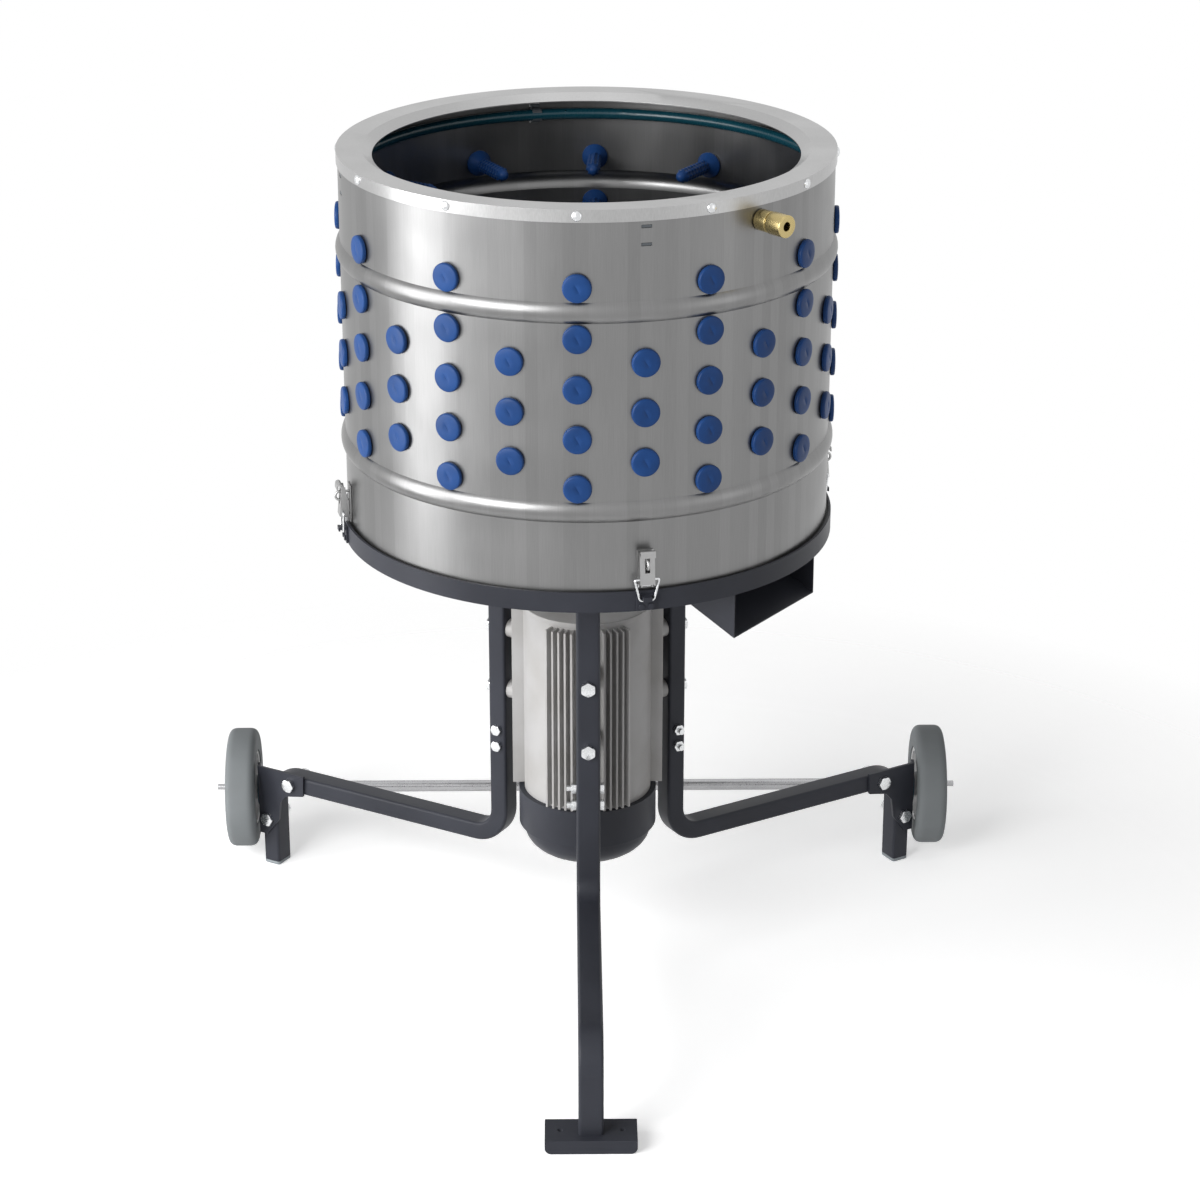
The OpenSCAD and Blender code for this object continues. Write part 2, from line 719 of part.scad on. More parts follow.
module latch_lever(i) {
    color("gray") at_az(latch_az + 90*i) difference() {
        translate([pivot_r, 0, pivot_z]) rotate([0, -lever_lean, 0]) difference() {
            union() {
                across(lever_w) lever_outline();
                for (side = [-1, 1]) translate([0, side*(lever_w - latch_sheet)/2, 0])
                    across(latch_sheet) {
                        circle(3.5, $fn = 32);
                        polygon([[-3.5, 0], [2, -2.8], [plate_out + 0.5, 2],
                            [plate_out + 0.5, lever_len - 4], [plate_out - 3, lever_len - 4],
                            [-3, 14]]);
                    }
            }
            translate([plate_out - 1, -3, 16.5]) cube([5, 6, 20]);
        }
        translate([pivot_r, 0, pivot_z]) cross_rod(pivot_pin_r + run_fit, -lever_w, lever_w);
        translate([ear_r, 0, ear_z]) cross_rod(latch_wire_r + run_fit, -lever_w, lever_w);
    }
}

// Bail: two slanted wires, a bar under the keeper's tongue and ends turned in through the lever
module latch_bail(i) {
    drop = ear_z - bar_z;
    slant = atan((bail_half_w - bail_bar_half_w)/drop);
    ear_end = ear_in_w + latch_sheet + gap;
    color("gainsboro") at_az(latch_az + 90*i) translate([ear_r, 0, 0]) {
        translate([0, 0, bar_z])
            cross_rod(latch_wire_r, -bail_bar_half_w - 0.9, bail_bar_half_w + 0.9);
        for (side = [-1, 1]) {
            translate([0, side*bail_bar_half_w, bar_z]) rotate([-side*slant, 0, 0])
                translate([0, 0, -0.8]) cylinder(r = latch_wire_r, h = drop/cos(slant) + 1.6);
            translate([0, side*(bail_half_w + 0.9 + ear_end)/2, ear_z])
                cross_rod(latch_wire_r, -(bail_half_w + 0.9 - ear_end)/2,
                    (bail_half_w + 0.9 - ear_end)/2);
        }
    }
}

// Keeper: a plate screwed to the ring, with a tongue and a short hook tip over the bail's bar
module keepers() {
    tongue_w = 11;
    tongue_h = 3.5;
    tip_in = ear_r + latch_wire_r + 2;
    tip_h = 3;
    color([0.22, 0.23, 0.26]) latch_places() difference() {
        union() {
            translate([ring_r + gap, -keeper_w/2, ring_bottom + 1])
                cube([keeper_t, keeper_w, keeper_tongue_z + tongue_h]);
            translate([ring_r + gap, -tongue_w/2, tongue_z])
                cube([tip_in + keeper_t - ring_r - gap, tongue_w, tongue_h]);
            translate([tip_in, -tongue_w/2, tongue_z - tip_h/2 - 0.2])
                cube([keeper_t, tongue_w, tip_h]);
        }
        keeper_screw_places() radial_rod(keeper_screw_r + hole_fit, ring_r - 1, keeper_face + 1);
    }
}

module keeper_screws() {
    color("gainsboro") latch_places() keeper_screw_places() {
        radial_rod(keeper_screw_r, ring_r - ring_wall + 0.2, keeper_face + 1);
        radial_rod(keeper_screw_head_r, keeper_face, keeper_face + 2);
    }
}

// Base ring: an angle whose flange carries the pan
module base_ring() {
    flange_in = ring_r - ring_wall - ring_flange_w;
    color([0.22, 0.23, 0.26]) difference() {
        rotate_extrude($fn = 128) polygon([[flange_in, ring_bottom], [ring_r, ring_bottom],
            [ring_r, ring_top], [ring_r - ring_wall, ring_top],
            [ring_r - ring_wall, pan_z], [flange_in, pan_z]]);
        latch_places() keeper_screw_places()
            radial_rod(keeper_screw_r + 0.02, ring_r - 8, ring_r + 2);
    }
}

module base_pan() {
    opening_out = chute_mouth - 3;
    opening_w = chute_w - 10;
    color("silver") difference() {
        translate([0, 0, pan_z]) cylinder(r = ring_r - ring_wall - gap, h = pan_t, $fn = 128);
        translate([0, 0, pan_z - 1]) cylinder(r = pan_hole_r, h = pan_t + 2);
        at_az(chute_az) translate([chute_back + 8, -opening_w/2, pan_z - 1])
            cube([opening_out - chute_back - 8, opening_w, pan_t + 2]);
    }
}

// Rubber seal between the drum's lower edge and the ring
module ring_seal() {
    color("black") ring(ring_r - ring_wall - gap, drum_r + gap, pan_top + gap, seal_h, 128);
}

// Chute: a wedge under the pan that is open at its top and at its mouth
module feather_chute() {
    top = pan_z - gap;
    run = chute_mouth - chute_back;
    fall = top - chute_lip_z;
    color([0.22, 0.23, 0.26]) at_az(chute_az) {
        difference() {
            across(chute_w) polygon([[chute_mouth, chute_lip_z], [chute_mouth, top],
                [chute_back, top]]);
            across(chute_w - 2*chute_wall) translate([0, chute_wall*1.1])
                polygon([[chute_mouth + 5, chute_lip_z - 5*fall/run], [chute_mouth + 5, top + 5],
                    [chute_back, top + 5], [chute_back, top]]);
        }
        for (side = [-1, 1])
            translate([chute_back + 4, side*(chute_w + chute_flange_w)/2 - chute_flange_w/2 - 0.5,
                top - chute_wall])
                cube([run - 34, chute_flange_w + 1, chute_wall]);
    }
}

// The path of a leg's tube: upright, bend, level run, bend and foot, for one section
module leg_path(d, w, r, top, bottom) {
    inner_x = leg_upright + leg_bend_r;
    outer_x = leg_foot - leg_bend_r;
    translate([leg_upright, 0, leg_run_z + leg_bend_r])
        linear_extrude(top - leg_run_z - leg_bend_r) rounded_rect(d, w, r);
    translate([inner_x, 0, leg_run_z + leg_bend_r]) rotate([90, 0, 0]) rotate([0, 0, 180])
        rotate_extrude(angle = 90) translate([leg_bend_r, 0]) rounded_rect(d, w, r);
    translate([inner_x, 0, leg_run_z]) rotate([0, 90, 0])
        linear_extrude(outer_x - inner_x) rounded_rect(d, w, r);
    translate([outer_x, 0, leg_run_z - leg_bend_r]) rotate([90, 0, 0])
        rotate_extrude(angle = 90) translate([leg_bend_r, 0]) rounded_rect(d, w, r);
    translate([leg_foot, 0, bottom])
        linear_extrude(leg_run_z - leg_bend_r - bottom) rounded_rect(d, w, r);
}

// Places of a bracket's two bolts on a rear leg: distance from the drum axis and height
bracket_bolts_at = [[leg_foot - bracket_bolt_in, leg_run_z], [leg_foot, leg_run_z - bracket_bolt_drop]];

module leg(i, bottom, has_bracket) {
    color([0.22, 0.23, 0.26]) at_az(leg_az[i]) difference() {
        leg_path(leg_d, leg_w, leg_edge_r, leg_top, bottom);
        leg_path(leg_d - 2*leg_wall, leg_w - 2*leg_wall, leg_edge_r - leg_wall,
            leg_top + 1, bottom - 1);
        for (z = [motor_bolt_lower_z, motor_bolt_upper_z]) translate([0, 0, z])
            radial_rod(bolt_r + hole_fit, leg_in - 5, leg_out + 5);
        for (z = [cross_bolt_lower_z, cross_bolt_upper_z]) translate([leg_upright, 0, z])
            cross_rod(cross_bolt_r + hole_fit, -leg_w, leg_w);
        if (has_bracket) for (p = bracket_bolts_at) translate([p[0], 0, p[1]])
            cross_rod(bolt_r + hole_fit, -leg_w, leg_w);
    }
}

// Sleeves that stiffen the tubes where the cross bolts go through
module leg_sleeves() {
    mid = (cross_bolt_lower_z + cross_bolt_upper_z)/2;
    color("gray") for (a = leg_az) at_az(a) difference() {
        translate([leg_upright, 0, mid - sleeve_len/2]) linear_extrude(sleeve_len) difference() {
            rounded_rect(leg_d - 2*leg_wall - 0.1, leg_w - 2*leg_wall - 0.1, leg_edge_r - leg_wall);
            square([leg_d - 2*leg_wall - 5, leg_w - 2*leg_wall - 5], center = true);
        }
        for (z = [cross_bolt_lower_z, cross_bolt_upper_z]) translate([leg_upright, 0, z])
            cross_rod(cross_bolt_r + hole_fit, -leg_w, leg_w);
    }
}

// End plugs of the rear feet, each with its stem inside the tube
module leg_caps() {
    color("lightsteelblue") for (a = [leg_az[1], leg_az[2]]) at_az(a) translate([leg_foot, 0, 0]) {
        linear_extrude(cap_t) rounded_rect(leg_d, leg_w, leg_edge_r);
        translate([0, 0, cap_t - 1]) linear_extrude(cap_plug_len + 1)
            rounded_rect(leg_d - 2*leg_wall - 0.1, leg_w - 2*leg_wall - 0.1, leg_edge_r - leg_wall);
    }
}

// Front foot plate: a folded channel with rounded lower corners and two fixing holes
module foot_plate() {
    corner = 8;
    color([0.22, 0.23, 0.26]) at_az(leg_az[0]) translate([leg_foot, 0, 0]) difference() {
        union() {
            translate([-foot_d/2, -foot_w/2, foot_h - foot_t]) cube([foot_d, foot_w, foot_t]);
            for (side = [-1, 1]) translate([side*(foot_d - foot_t)/2, 0, 0])
                rotate([90, 0, 90]) linear_extrude(foot_t, center = true) {
                    translate([-foot_w/2, corner]) square([foot_w, foot_h - corner]);
                    translate([-foot_w/2 + corner, 0]) square([foot_w - 2*corner, corner + 1]);
                    for (end = [-1, 1]) translate([end*(foot_w/2 - corner), corner])
                        circle(corner, $fn = 32);
                }
        }
        for (end = [-1, 1]) translate([0, end*foot_hole_pitch/2, foot_h - foot_t - 1])
            cylinder(r = foot_hole_r, h = foot_t + 2);
    }
}

// Bolts through the legs into the motor's bosses
module motor_bolts() {
    color("gainsboro") for (a = leg_az, z = [motor_bolt_lower_z, motor_bolt_upper_z])
        at_az(a) translate([0, 0, z]) {
            radial_rod(bolt_r, leg_in - motor_boss_hole + 3, leg_out + 1);
            radial_hex(bolt_af, leg_out, leg_out + bolt_head_h);
        }
}

// Cross bolts: head on one side of the leg, threaded end on the other
module cross_bolts() {
    head_y = leg_w/2;
    end_y = -leg_w/2 - cross_nut_h - cross_stud_len;
    color("gainsboro") for (a = leg_az, z = [cross_bolt_lower_z, cross_bolt_upper_z])
        at_az(a) translate([leg_upright, 0, z]) {
            cross_rod(cross_bolt_r, end_y, head_y + 1);
            cross_hex(cross_bolt_af, head_y, head_y + cross_bolt_head_h);
        }
}

module cross_nuts() {
    color("gainsboro") for (a = leg_az, z = [cross_bolt_lower_z, cross_bolt_upper_z])
        at_az(a) translate([leg_upright, 0, z]) difference() {
            cross_hex(cross_bolt_af, -leg_w/2 - cross_nut_h, -leg_w/2);
            cross_rod(cross_bolt_r + run_fit, -leg_w, 0);
        }
}

// Wheel bracket of the right rear leg: a plate on the leg's front face with a wing bent
// backwards, which the axle goes through
module bracket() {
    top = leg_run_z + leg_d/2 + 4.5;
    edge = (bracket_x + bracket_t - (leg_w/2 + bracket_t)*sin(30))/cos(30);
    foot_z = leg_run_z - 84;
    arm = leg_foot - 61;
    waist = leg_foot - 17.5;
    corner_y = edge*sin(30) - (leg_w/2 + bracket_t)*cos(30);
    difference() {
        union() {
            at_az(30) translate([0, -leg_w/2, 0]) rotate([90, 0, 0]) linear_extrude(bracket_t)
                polygon([[edge, top], [arm, top], [arm + 1.5, top - 30], [waist - 14, top - 36],
                    [waist - 4, top - 47], [waist, foot_z + 26], [edge - 12, foot_z], [edge, foot_z]]);
            translate([bracket_x, 0, 0]) rotate([90, 0, 90]) linear_extrude(bracket_t) {
                polygon([[corner_y, foot_z], [corner_y, top], [corner_y + 12, top],
                    [wheel_y + 9, wheel_z + bracket_end_r*0.9],
                    [wheel_y + 9, wheel_z - bracket_end_r*0.9], [corner_y + 12, foot_z]]);
                translate([wheel_y, wheel_z]) circle(bracket_end_r);
            }
        }
        for (p = bracket_bolts_at) at_az(30) translate([p[0], 0, p[1]])
            cross_rod(bolt_r + hole_fit, -leg_w, 0);
        translate([bracket_x - 5, wheel_y, wheel_z]) radial_rod(axle_r + 0.02, 0, bracket_t + 10);
    }
}

module bracket_right() {
    color([0.22, 0.23, 0.26]) bracket();
}

module bracket_left() {
    color([0.22, 0.23, 0.26]) mirror([1, 0, 0]) bracket();
}

// The bolts of the right bracket go in from the front, those of the left one too
module bracket_bolts() {
    head = leg_w/2 + bracket_t;
    end = leg_w/2 + bolt_nut_h + 4;
    color("gainsboro") for (side = [-1, 1], p = bracket_bolts_at)
        at_az(90 - 60*side) translate([p[0], 0, p[1]]) {
            translate([0, side*(end - head)/2, 0]) cross_rod(bolt_r, -(head + end)/2, (head + end)/2);
            translate([0, -side*(head + bolt_head_h/2), 0])
                cross_hex(bolt_af, -bolt_head_h/2, bolt_head_h/2);
        }
    // Nuts behind the legs
    color("gainsboro") for (side = [-1, 1], p = bracket_bolts_at)
        at_az(90 - 60*side) translate([p[0], side*(leg_w + bolt_nut_h)/2, p[1]]) difference() {
            cross_hex(bolt_af, -bolt_nut_h/2, bolt_nut_h/2);
            cross_rod(bolt_r + run_fit, -bolt_nut_h, bolt_nut_h);
        }
}

// Everything on the wheels' axis, with X along the axle
module at_wheels() {
    translate([0, wheel_y, wheel_z]) children();
}

module axle() {
    color("gray") at_wheels() {
        radial_rod(axle_r, -axle_x, axle_x);
        radial_rod(axle_end_r, -axle_tip, axle_tip);
    }
}

module axle_caps() {
    color("gainsboro") for (side = [0, 1]) at_wheels() mirror([side, 0, 0]) difference() {
        radial_rod(axle_cap_r, axle_x + gap, axle_x + gap + axle_cap_t);
        radial_rod(axle_end_r + run_fit, axle_x - 1, axle_tip + 1);
    }
}

module wheel_washers() {
    color([0.1, 0.35, 0.45]) for (side = [0, 1]) at_wheels() mirror([side, 0, 0]) difference() {
        radial_rod(washer_r, bracket_x + bracket_t, wheel_x - gap);
        radial_rod(axle_r + run_fit, bracket_x, wheel_x + 1);
    }
}

// Tyre with rounded shoulders on a flat seat
module tyre() {
    w = tyre_w - gap;
    flat = w/2 - tyre_shoulder_r;
    translate([tyre_x + w/2, 0, 0]) rotate([0, 90, 0]) rotate_extrude($fn = 128) {
        translate([tyre_seat_r, -w/2]) square([tyre_r - tyre_shoulder_r - tyre_seat_r, w]);
        translate([tyre_seat_r, -flat]) square([tyre_r - tyre_seat_r, 2*flat]);
        for (s = [-1, 1]) translate([tyre_r - tyre_shoulder_r, s*flat])
            circle(tyre_shoulder_r, $fn = 48);
    }
}

module tyre_right() {
    color("darkgray") at_wheels() tyre();
}

module tyre_left() {
    color("darkgray") at_wheels() mirror([1, 0, 0]) tyre();
}

// Hub: rim, web and boss in one, with a plain bore on the axle
module wheel_hub() {
    rim_t = 5;
    w = tyre_w - 4;
    mid = tyre_x + (tyre_w - gap)/2;
    pocket = (w - web_t)/2 + 1;
    difference() {
        union() {
            radial_rod(tyre_seat_r - 0.02, mid - w/2, mid + w/2);
            radial_rod(boss_r, tyre_x, axle_x - 1);
        }
        for (side = [-1, 1]) translate([mid + side*(web_t + pocket)/2, 0, 0]) difference() {
            radial_rod(tyre_seat_r - rim_t, -pocket/2, pocket/2);
            radial_rod(boss_r, -w, w);
        }
        radial_rod(axle_r + run_fit, tyre_x - 5, axle_x + 5);
    }
}

module hub_right() {
    color("whitesmoke") at_wheels() wheel_hub();
}

module hub_left() {
    color("whitesmoke") at_wheels() mirror([1, 0, 0]) wheel_hub();
}

// Motor housing: tube, fins beside each leg and bosses for the legs' bolts
module motor_housing() {
    fin_az = [12.5, 17.5, 22.5, 27.5, 33];
    // The fins end this far from both ends of the tube
    fin_inset = 2;
    bore_r = motor_r - motor_wall;
    color([0.72, 0.71, 0.69]) difference() {
        union() {
            ring(motor_r, bore_r, motor_bottom, motor_top - motor_bottom, 128);
            for (a = leg_az, f = fin_az, side = [-1, 1]) at_az(a + side*f)
                translate([motor_r - 1, -fin_t/2, motor_bottom + fin_inset])
                    cube([fin_r - motor_r + 1, fin_t, motor_top - motor_bottom - 2*fin_inset]);
            for (a = leg_az, z = [motor_bolt_lower_z, motor_bolt_upper_z])
                at_az(a) translate([0, 0, z]) radial_rod(motor_boss_r, motor_r - 2, leg_in);
        }
        for (a = leg_az, z = [motor_bolt_lower_z, motor_bolt_upper_z])
            at_az(a) translate([0, 0, z]) radial_rod(bolt_r + 0.02, leg_in - motor_boss_hole,
                leg_in + 1);
        translate([0, 0, box_z]) at_az(90) radial_rod(12, bore_r - 5, fin_r);
    }
}

// Upper end shield: a lid with a lip over the housing and a seat for the bearing
module upper_shield() {
    lip = 7;
    color([0.6, 0.59, 0.58]) difference() {
        union() {
            translate([0, 0, motor_top]) cylinder(r = shield_r, h = lip, $fn = 128);
            translate([0, 0, motor_top - shield_t])
                cylinder(r = motor_r - motor_wall - 0.05, h = shield_t + 1);
            translate([0, 0, motor_top - bearing_w - 6])
                cylinder(r = bearing_r + 6, h = bearing_w + 6);
        }
        translate([0, 0, upper_bearing_z - bearing_w/2 - 10])
            cylinder(r = bearing_r, h = bearing_w + 10);
        translate([0, 0, motor_top - shield_t - 30]) cylinder(r = shaft_r + 1, h = 60);
    }
}

module lower_shield() {
    color([0.6, 0.59, 0.58]) difference() {
        union() {
            translate([0, 0, motor_bottom - shield_t]) cylinder(r = motor_r, h = shield_t, $fn = 128);
            translate([0, 0, motor_bottom - shield_t]) cylinder(r = bearing_r + 6, h = bearing_w + 6);
        }
        translate([0, 0, lower_bearing_z - bearing_w/2]) cylinder(r = bearing_r, h = bearing_w + 20);
        translate([0, 0, motor_bottom - shield_t - 5]) cylinder(r = shaft_r + 1, h = 60);
    }
}

// Fan cover: a band round the lower shield, a step and a domed bottom with vent slots
module fan_cover() {
    bore = motor_r + gap;
    dome_r = cover_dome_r;
    dome_h = cover_step_z - cover_bottom;
    // The dome's outline is a quarter of a rounded-off ellipse
    outer = [for (a = [0:9:90]) [dome_r*pow(sin(a), 0.75), cover_step_z - dome_h*pow(cos(a), 0.9)]];
    inner = [for (a = [90:-9:0]) [(dome_r - cover_wall)*pow(sin(a), 0.75),
        cover_step_z - (dome_h - cover_wall)*pow(cos(a), 0.9)]];
    color([0.22, 0.23, 0.26]) difference() {
        rotate_extrude($fn = 128) polygon(concat(outer, [[cover_r, cover_step_z + 2],
            [cover_r, motor_bottom - 3], [bore, motor_bottom - 3],
            [bore, motor_bottom - 9], [cover_r - cover_wall, motor_bottom - 9],
            [cover_r - cover_wall, cover_step_z + 3],
            [dome_r - cover_wall, cover_step_z + 1]], inner));
        for (i = [0:vents_n - 1], k = [0:1]) at_az(360/vents_n*(i + k/2))
            translate([34 + 20*k, -2.2, cover_bottom - 5]) cube([15, 4.4, 30]);
    }
}

module stator() {
    core_r = motor_r - motor_wall - 0.02;
    color("darkorange") {
        ring(core_r, stator_bore_r, stator_mid - stator_len/2, stator_len, 128);
        for (z = [stator_mid - stator_len/2 - 25, stator_mid + stator_len/2 - 1])
            ring(winding_r, stator_bore_r + 3, z, 26, 128);
    }
}

// Ball bearings, each drawn as one ring
module bearings() {
    color("silver") for (z = [lower_bearing_z, upper_bearing_z])
        ring(bearing_r - 0.02, shaft_r + run_fit, z - bearing_w/2, bearing_w);
}

// Terminal box behind the motor, on a pad, with its lid and lid screws
module terminal_box() {
    back = motor_r - 1;
    front = fin_r + 6;
    color([0.6, 0.59, 0.58]) at_az(90) translate([0, 0, box_z]) {
        difference() {
            union() {
                translate([front, 0, 0]) across_box(box_d - 6, box_w, box_h, 6);
                translate([back, -30, -30]) cube([front - back + 1, 60, 60]);
            }
            translate([front + 3, 0, 0])
                across_box(box_d, box_w - 2*box_wall, box_h - 2*box_wall, 4);
            radial_rod(12, back - 5, front + 8);
            cylinder(r = motor_r + 0.02, h = box_h*2, center = true, $fn = 128);
            translate([front + box_d/2, 0, -box_h/2 - 1]) cylinder(r = 8, h = 10);
        }
        translate([front + box_d - 6 + 0.02, 0, 0]) across_box(6, box_w, box_h, 6);
        for (y = [-1, 1], z = [-1, 1])
            translate([0, y*(box_w/2 - 9), z*(box_h/2 - 9)])
                radial_rod(3, front + box_d - 1, front + box_d + 2);
    }
}

// A block that starts at x = 0, with its four long edges rounded
module across_box(d, w, h, r) {
    rotate([90, 0, 90]) linear_extrude(d) rounded_rect(w, h, r);
}

// Cable gland under the terminal box
module cable_gland() {
    x = fin_r + 6 + box_d/2;
    z = box_z - box_h/2;
    color("black") at_az(90) translate([x, 0, 0]) difference() {
        union() {
            translate([0, 0, z - 8]) cylinder(r = 12, h = 8, $fn = 6);
            translate([0, 0, z - 22]) cylinder(r = 9.5, h = 15);
            translate([0, 0, z - 1]) cylinder(r = 7.9, h = 8);
        }
        translate([0, 0, z - 23]) cylinder(r = 5, h = 40);
    }
}

module motor_shaft() {
    color("silver") {
        translate([0, 0, shaft_bottom]) cylinder(r = shaft_r, h = shaft_top - shaft_bottom);
        // Key in the hub
        translate([shaft_r - 3, -4, pan_top + 11.5]) cube([5.5, 8, plate_z - pan_top - 13]);
    }
}

module rotor_core() {
    color("dimgray") ring(stator_bore_r - air_gap, shaft_r + 0.02, stator_mid - stator_len/2,
        stator_len);
}

module cooling_fan() {
    base = shaft_bottom + 3;
    color("black") {
        ring(22, shaft_r + 0.02, base, 22);
        ring(fan_r, 21, base + 16, 3);
        for (i = [0:fan_blades_n - 1]) at_az(360/fan_blades_n*i)
            translate([21, -1.25, base]) cube([fan_r - 23, 2.5, 17]);
    }
}

// Seal that turns with the shaft and runs on the pan
module shaft_seal() {
    color("black") {
        ring(shaft_r + 6, shaft_r + 0.02, pan_top - 4, 14);
        ring(pan_hole_r + 8, shaft_r + 5, pan_top + gap, 2);
    }
}

// Hub under the plate, keyed to the shaft
module plate_hub() {
    key_w = 8.2;
    color("gray") difference() {
        union() {
            translate([0, 0, plate_z - hub_t]) cylinder(r = hub_r, h = hub_t);
            translate([0, 0, pan_top + 11]) cylinder(r = hub_boss_r, h = plate_z - hub_t - pan_top - 10);
        }
        translate([0, 0, pan_top]) cylinder(r = shaft_r + 0.02, h = plate_z);
        translate([0, -key_w/2, pan_top]) cube([shaft_r + 2.6, key_w, plate_z - pan_top - 1]);
        hub_bolt_places() cylinder(r = hub_bolt_r + run_fit, h = 2*hub_t + 2, center = true);
    }
}

module hub_bolt_places() {
    for (i = [0:hub_bolts_n - 1]) at_az(360/hub_bolts_n*(i + 0.5))
        translate([(hub_r + shaft_cap_r)/2, 0, plate_z]) children();
}

module plate_finger_places() {
    counts = [8, 12, 16];
    for (k = [0:2], i = [0:counts[k] - 1]) at_az(360/counts[k]*(i + k/3))
        translate([plate_r - plate_ring_inset - plate_ring_step*(2 - k), 0, 0]) children();
}

// Rotating plate that sweeps the feathers into the chute
module feather_plate() {
    color("silver") difference() {
        translate([0, 0, plate_z]) cylinder(r = plate_r, h = plate_t, $fn = 128);
        translate([0, 0, plate_z - 1]) cylinder(r = shaft_r + 0.02, h = plate_t + 2);
        plate_finger_places() translate([0, 0, plate_z - 5])
            cylinder(r = finger_neck_r + gap, h = plate_t + 10);
        hub_bolt_places() cylinder(r = hub_bolt_r + hole_fit, h = 2*plate_t + 2, center = true);
    }
}

module plate_bolts() {
    head_r = hub_bolt_r + 3.5;
    head_h = 5;
    color("gainsboro") hub_bolt_places() {
        translate([0, 0, -hub_t]) cylinder(r = hub_bolt_r, h = hub_t + plate_t + 1);
        translate([0, 0, plate_t]) cylinder(r = head_r, h = head_h, $fn = 6);
    }
}

// Cap over the shaft's end
module shaft_cap() {
    color("silver") difference() {
        translate([0, 0, plate_z + plate_t]) cylinder(r = shaft_cap_r - 0.1, h = 20);
        translate([0, 0, plate_z]) cylinder(r = shaft_r + 0.02, h = shaft_top - plate_z + 0.5);
    }
}

// Fingers of the rotating plate, with their heads under it and their tips above it
module plate_fingers() {
    color("royalblue") plate_finger_places() translate([0, 0, plate_z]) rotate([0, 90, 0])
        finger(-plate_t - gap, gap, plate_finger_len);
}

on_axis() drum_shell();
on_axis() rim_ring();
on_axis() rim_screws();
on_axis() spray_hose();
on_axis() hose_clips();
on_axis() water_inlet();
on_axis() long_column_fingers();
on_axis() short_column_fingers();
on_axis() latch_bases();
on_axis() latch_pins();
on_axis() latch_lever(0);  // latch_lever_1
on_axis() latch_lever(1);  // latch_lever_2
on_axis() latch_lever(2);  // latch_lever_3
on_axis() latch_lever(3);  // latch_lever_4
on_axis() latch_bail(0);  // latch_bail_1
on_axis() latch_bail(1);  // latch_bail_2
on_axis() latch_bail(2);  // latch_bail_3
on_axis() latch_bail(3);  // latch_bail_4
on_axis() keepers();
on_axis() keeper_screws();
on_axis() base_ring();
on_axis() base_pan();
on_axis() ring_seal();
on_axis() feather_chute();
on_axis() leg(0, foot_h, false);  // leg_front
on_axis() leg(1, cap_t, true);  // leg_right
on_axis() leg(2, cap_t, true);  // leg_left
on_axis() leg_sleeves();
on_axis() leg_caps();
on_axis() foot_plate();
on_axis() motor_bolts();
on_axis() cross_bolts();
on_axis() cross_nuts();
on_axis() bracket_right();
on_axis() bracket_left();
on_axis() bracket_bolts();
on_axis() axle();
on_axis() axle_caps();
on_axis() wheel_washers();
on_axis() tyre_right();
on_axis() tyre_left();
on_axis() hub_right();
on_axis() hub_left();
on_axis() motor_housing();
on_axis() upper_shield();
on_axis() lower_shield();
on_axis() fan_cover();
on_axis() stator();
on_axis() bearings();
on_axis() terminal_box();
on_axis() cable_gland();
on_axis() motor_shaft();
on_axis() rotor_core();
on_axis() cooling_fan();
on_axis() shaft_seal();
on_axis() plate_hub();
on_axis() feather_plate();
on_axis() plate_bolts();
on_axis() shaft_cap();
on_axis() plate_fingers();
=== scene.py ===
import json
import math

import bmesh
import bpy
import numpy as np
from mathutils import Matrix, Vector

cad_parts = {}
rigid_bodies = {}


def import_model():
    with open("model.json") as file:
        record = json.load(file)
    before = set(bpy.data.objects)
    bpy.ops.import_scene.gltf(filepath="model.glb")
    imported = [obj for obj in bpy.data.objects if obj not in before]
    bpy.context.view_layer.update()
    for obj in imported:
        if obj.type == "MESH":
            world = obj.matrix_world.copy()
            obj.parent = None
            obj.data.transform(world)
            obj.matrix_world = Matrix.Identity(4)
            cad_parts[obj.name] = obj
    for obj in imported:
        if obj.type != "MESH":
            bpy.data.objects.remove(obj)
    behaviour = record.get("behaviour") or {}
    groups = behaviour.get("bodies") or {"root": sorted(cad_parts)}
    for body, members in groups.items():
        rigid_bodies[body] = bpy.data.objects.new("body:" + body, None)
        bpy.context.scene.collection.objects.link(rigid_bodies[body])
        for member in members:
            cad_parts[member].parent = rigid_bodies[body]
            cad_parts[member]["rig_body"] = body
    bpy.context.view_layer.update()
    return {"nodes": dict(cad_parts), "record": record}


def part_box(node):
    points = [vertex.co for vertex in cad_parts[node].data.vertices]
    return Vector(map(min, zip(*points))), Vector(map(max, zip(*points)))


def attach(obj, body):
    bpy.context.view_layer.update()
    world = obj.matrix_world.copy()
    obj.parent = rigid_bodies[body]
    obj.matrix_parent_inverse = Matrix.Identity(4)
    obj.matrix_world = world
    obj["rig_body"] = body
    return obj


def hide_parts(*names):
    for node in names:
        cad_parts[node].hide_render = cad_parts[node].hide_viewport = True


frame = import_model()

bl_info = {
    "name": "Poultry plucker",
    "version": (1, 0, 0),
    "blender": (4, 5, 0),
    "location": "View3D > Sidebar > Plucker",
    "description": "Dresses the packed drum plucker with its detailed pieces, finishes and studio",
    "category": "Add Mesh",
}

SLOTS = {sub["node"]: sub["material_slot"] for sub in frame["record"]["subparts"]}
TAU = 2 * math.pi


def middle(node):
    """The middle of a CAD node's box, as an array of three metres."""
    low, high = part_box(node)
    return (np.array(low) + np.array(high)) / 2


def height_range(node):
    """The lowest and the highest z of a CAD node."""
    low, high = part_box(node)
    return low.z, high.z


def reach(node):
    """Half the width of a CAD node along X, which is its radius where it goes round the drum axis."""
    low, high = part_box(node)
    return (high.x - low.x) / 2


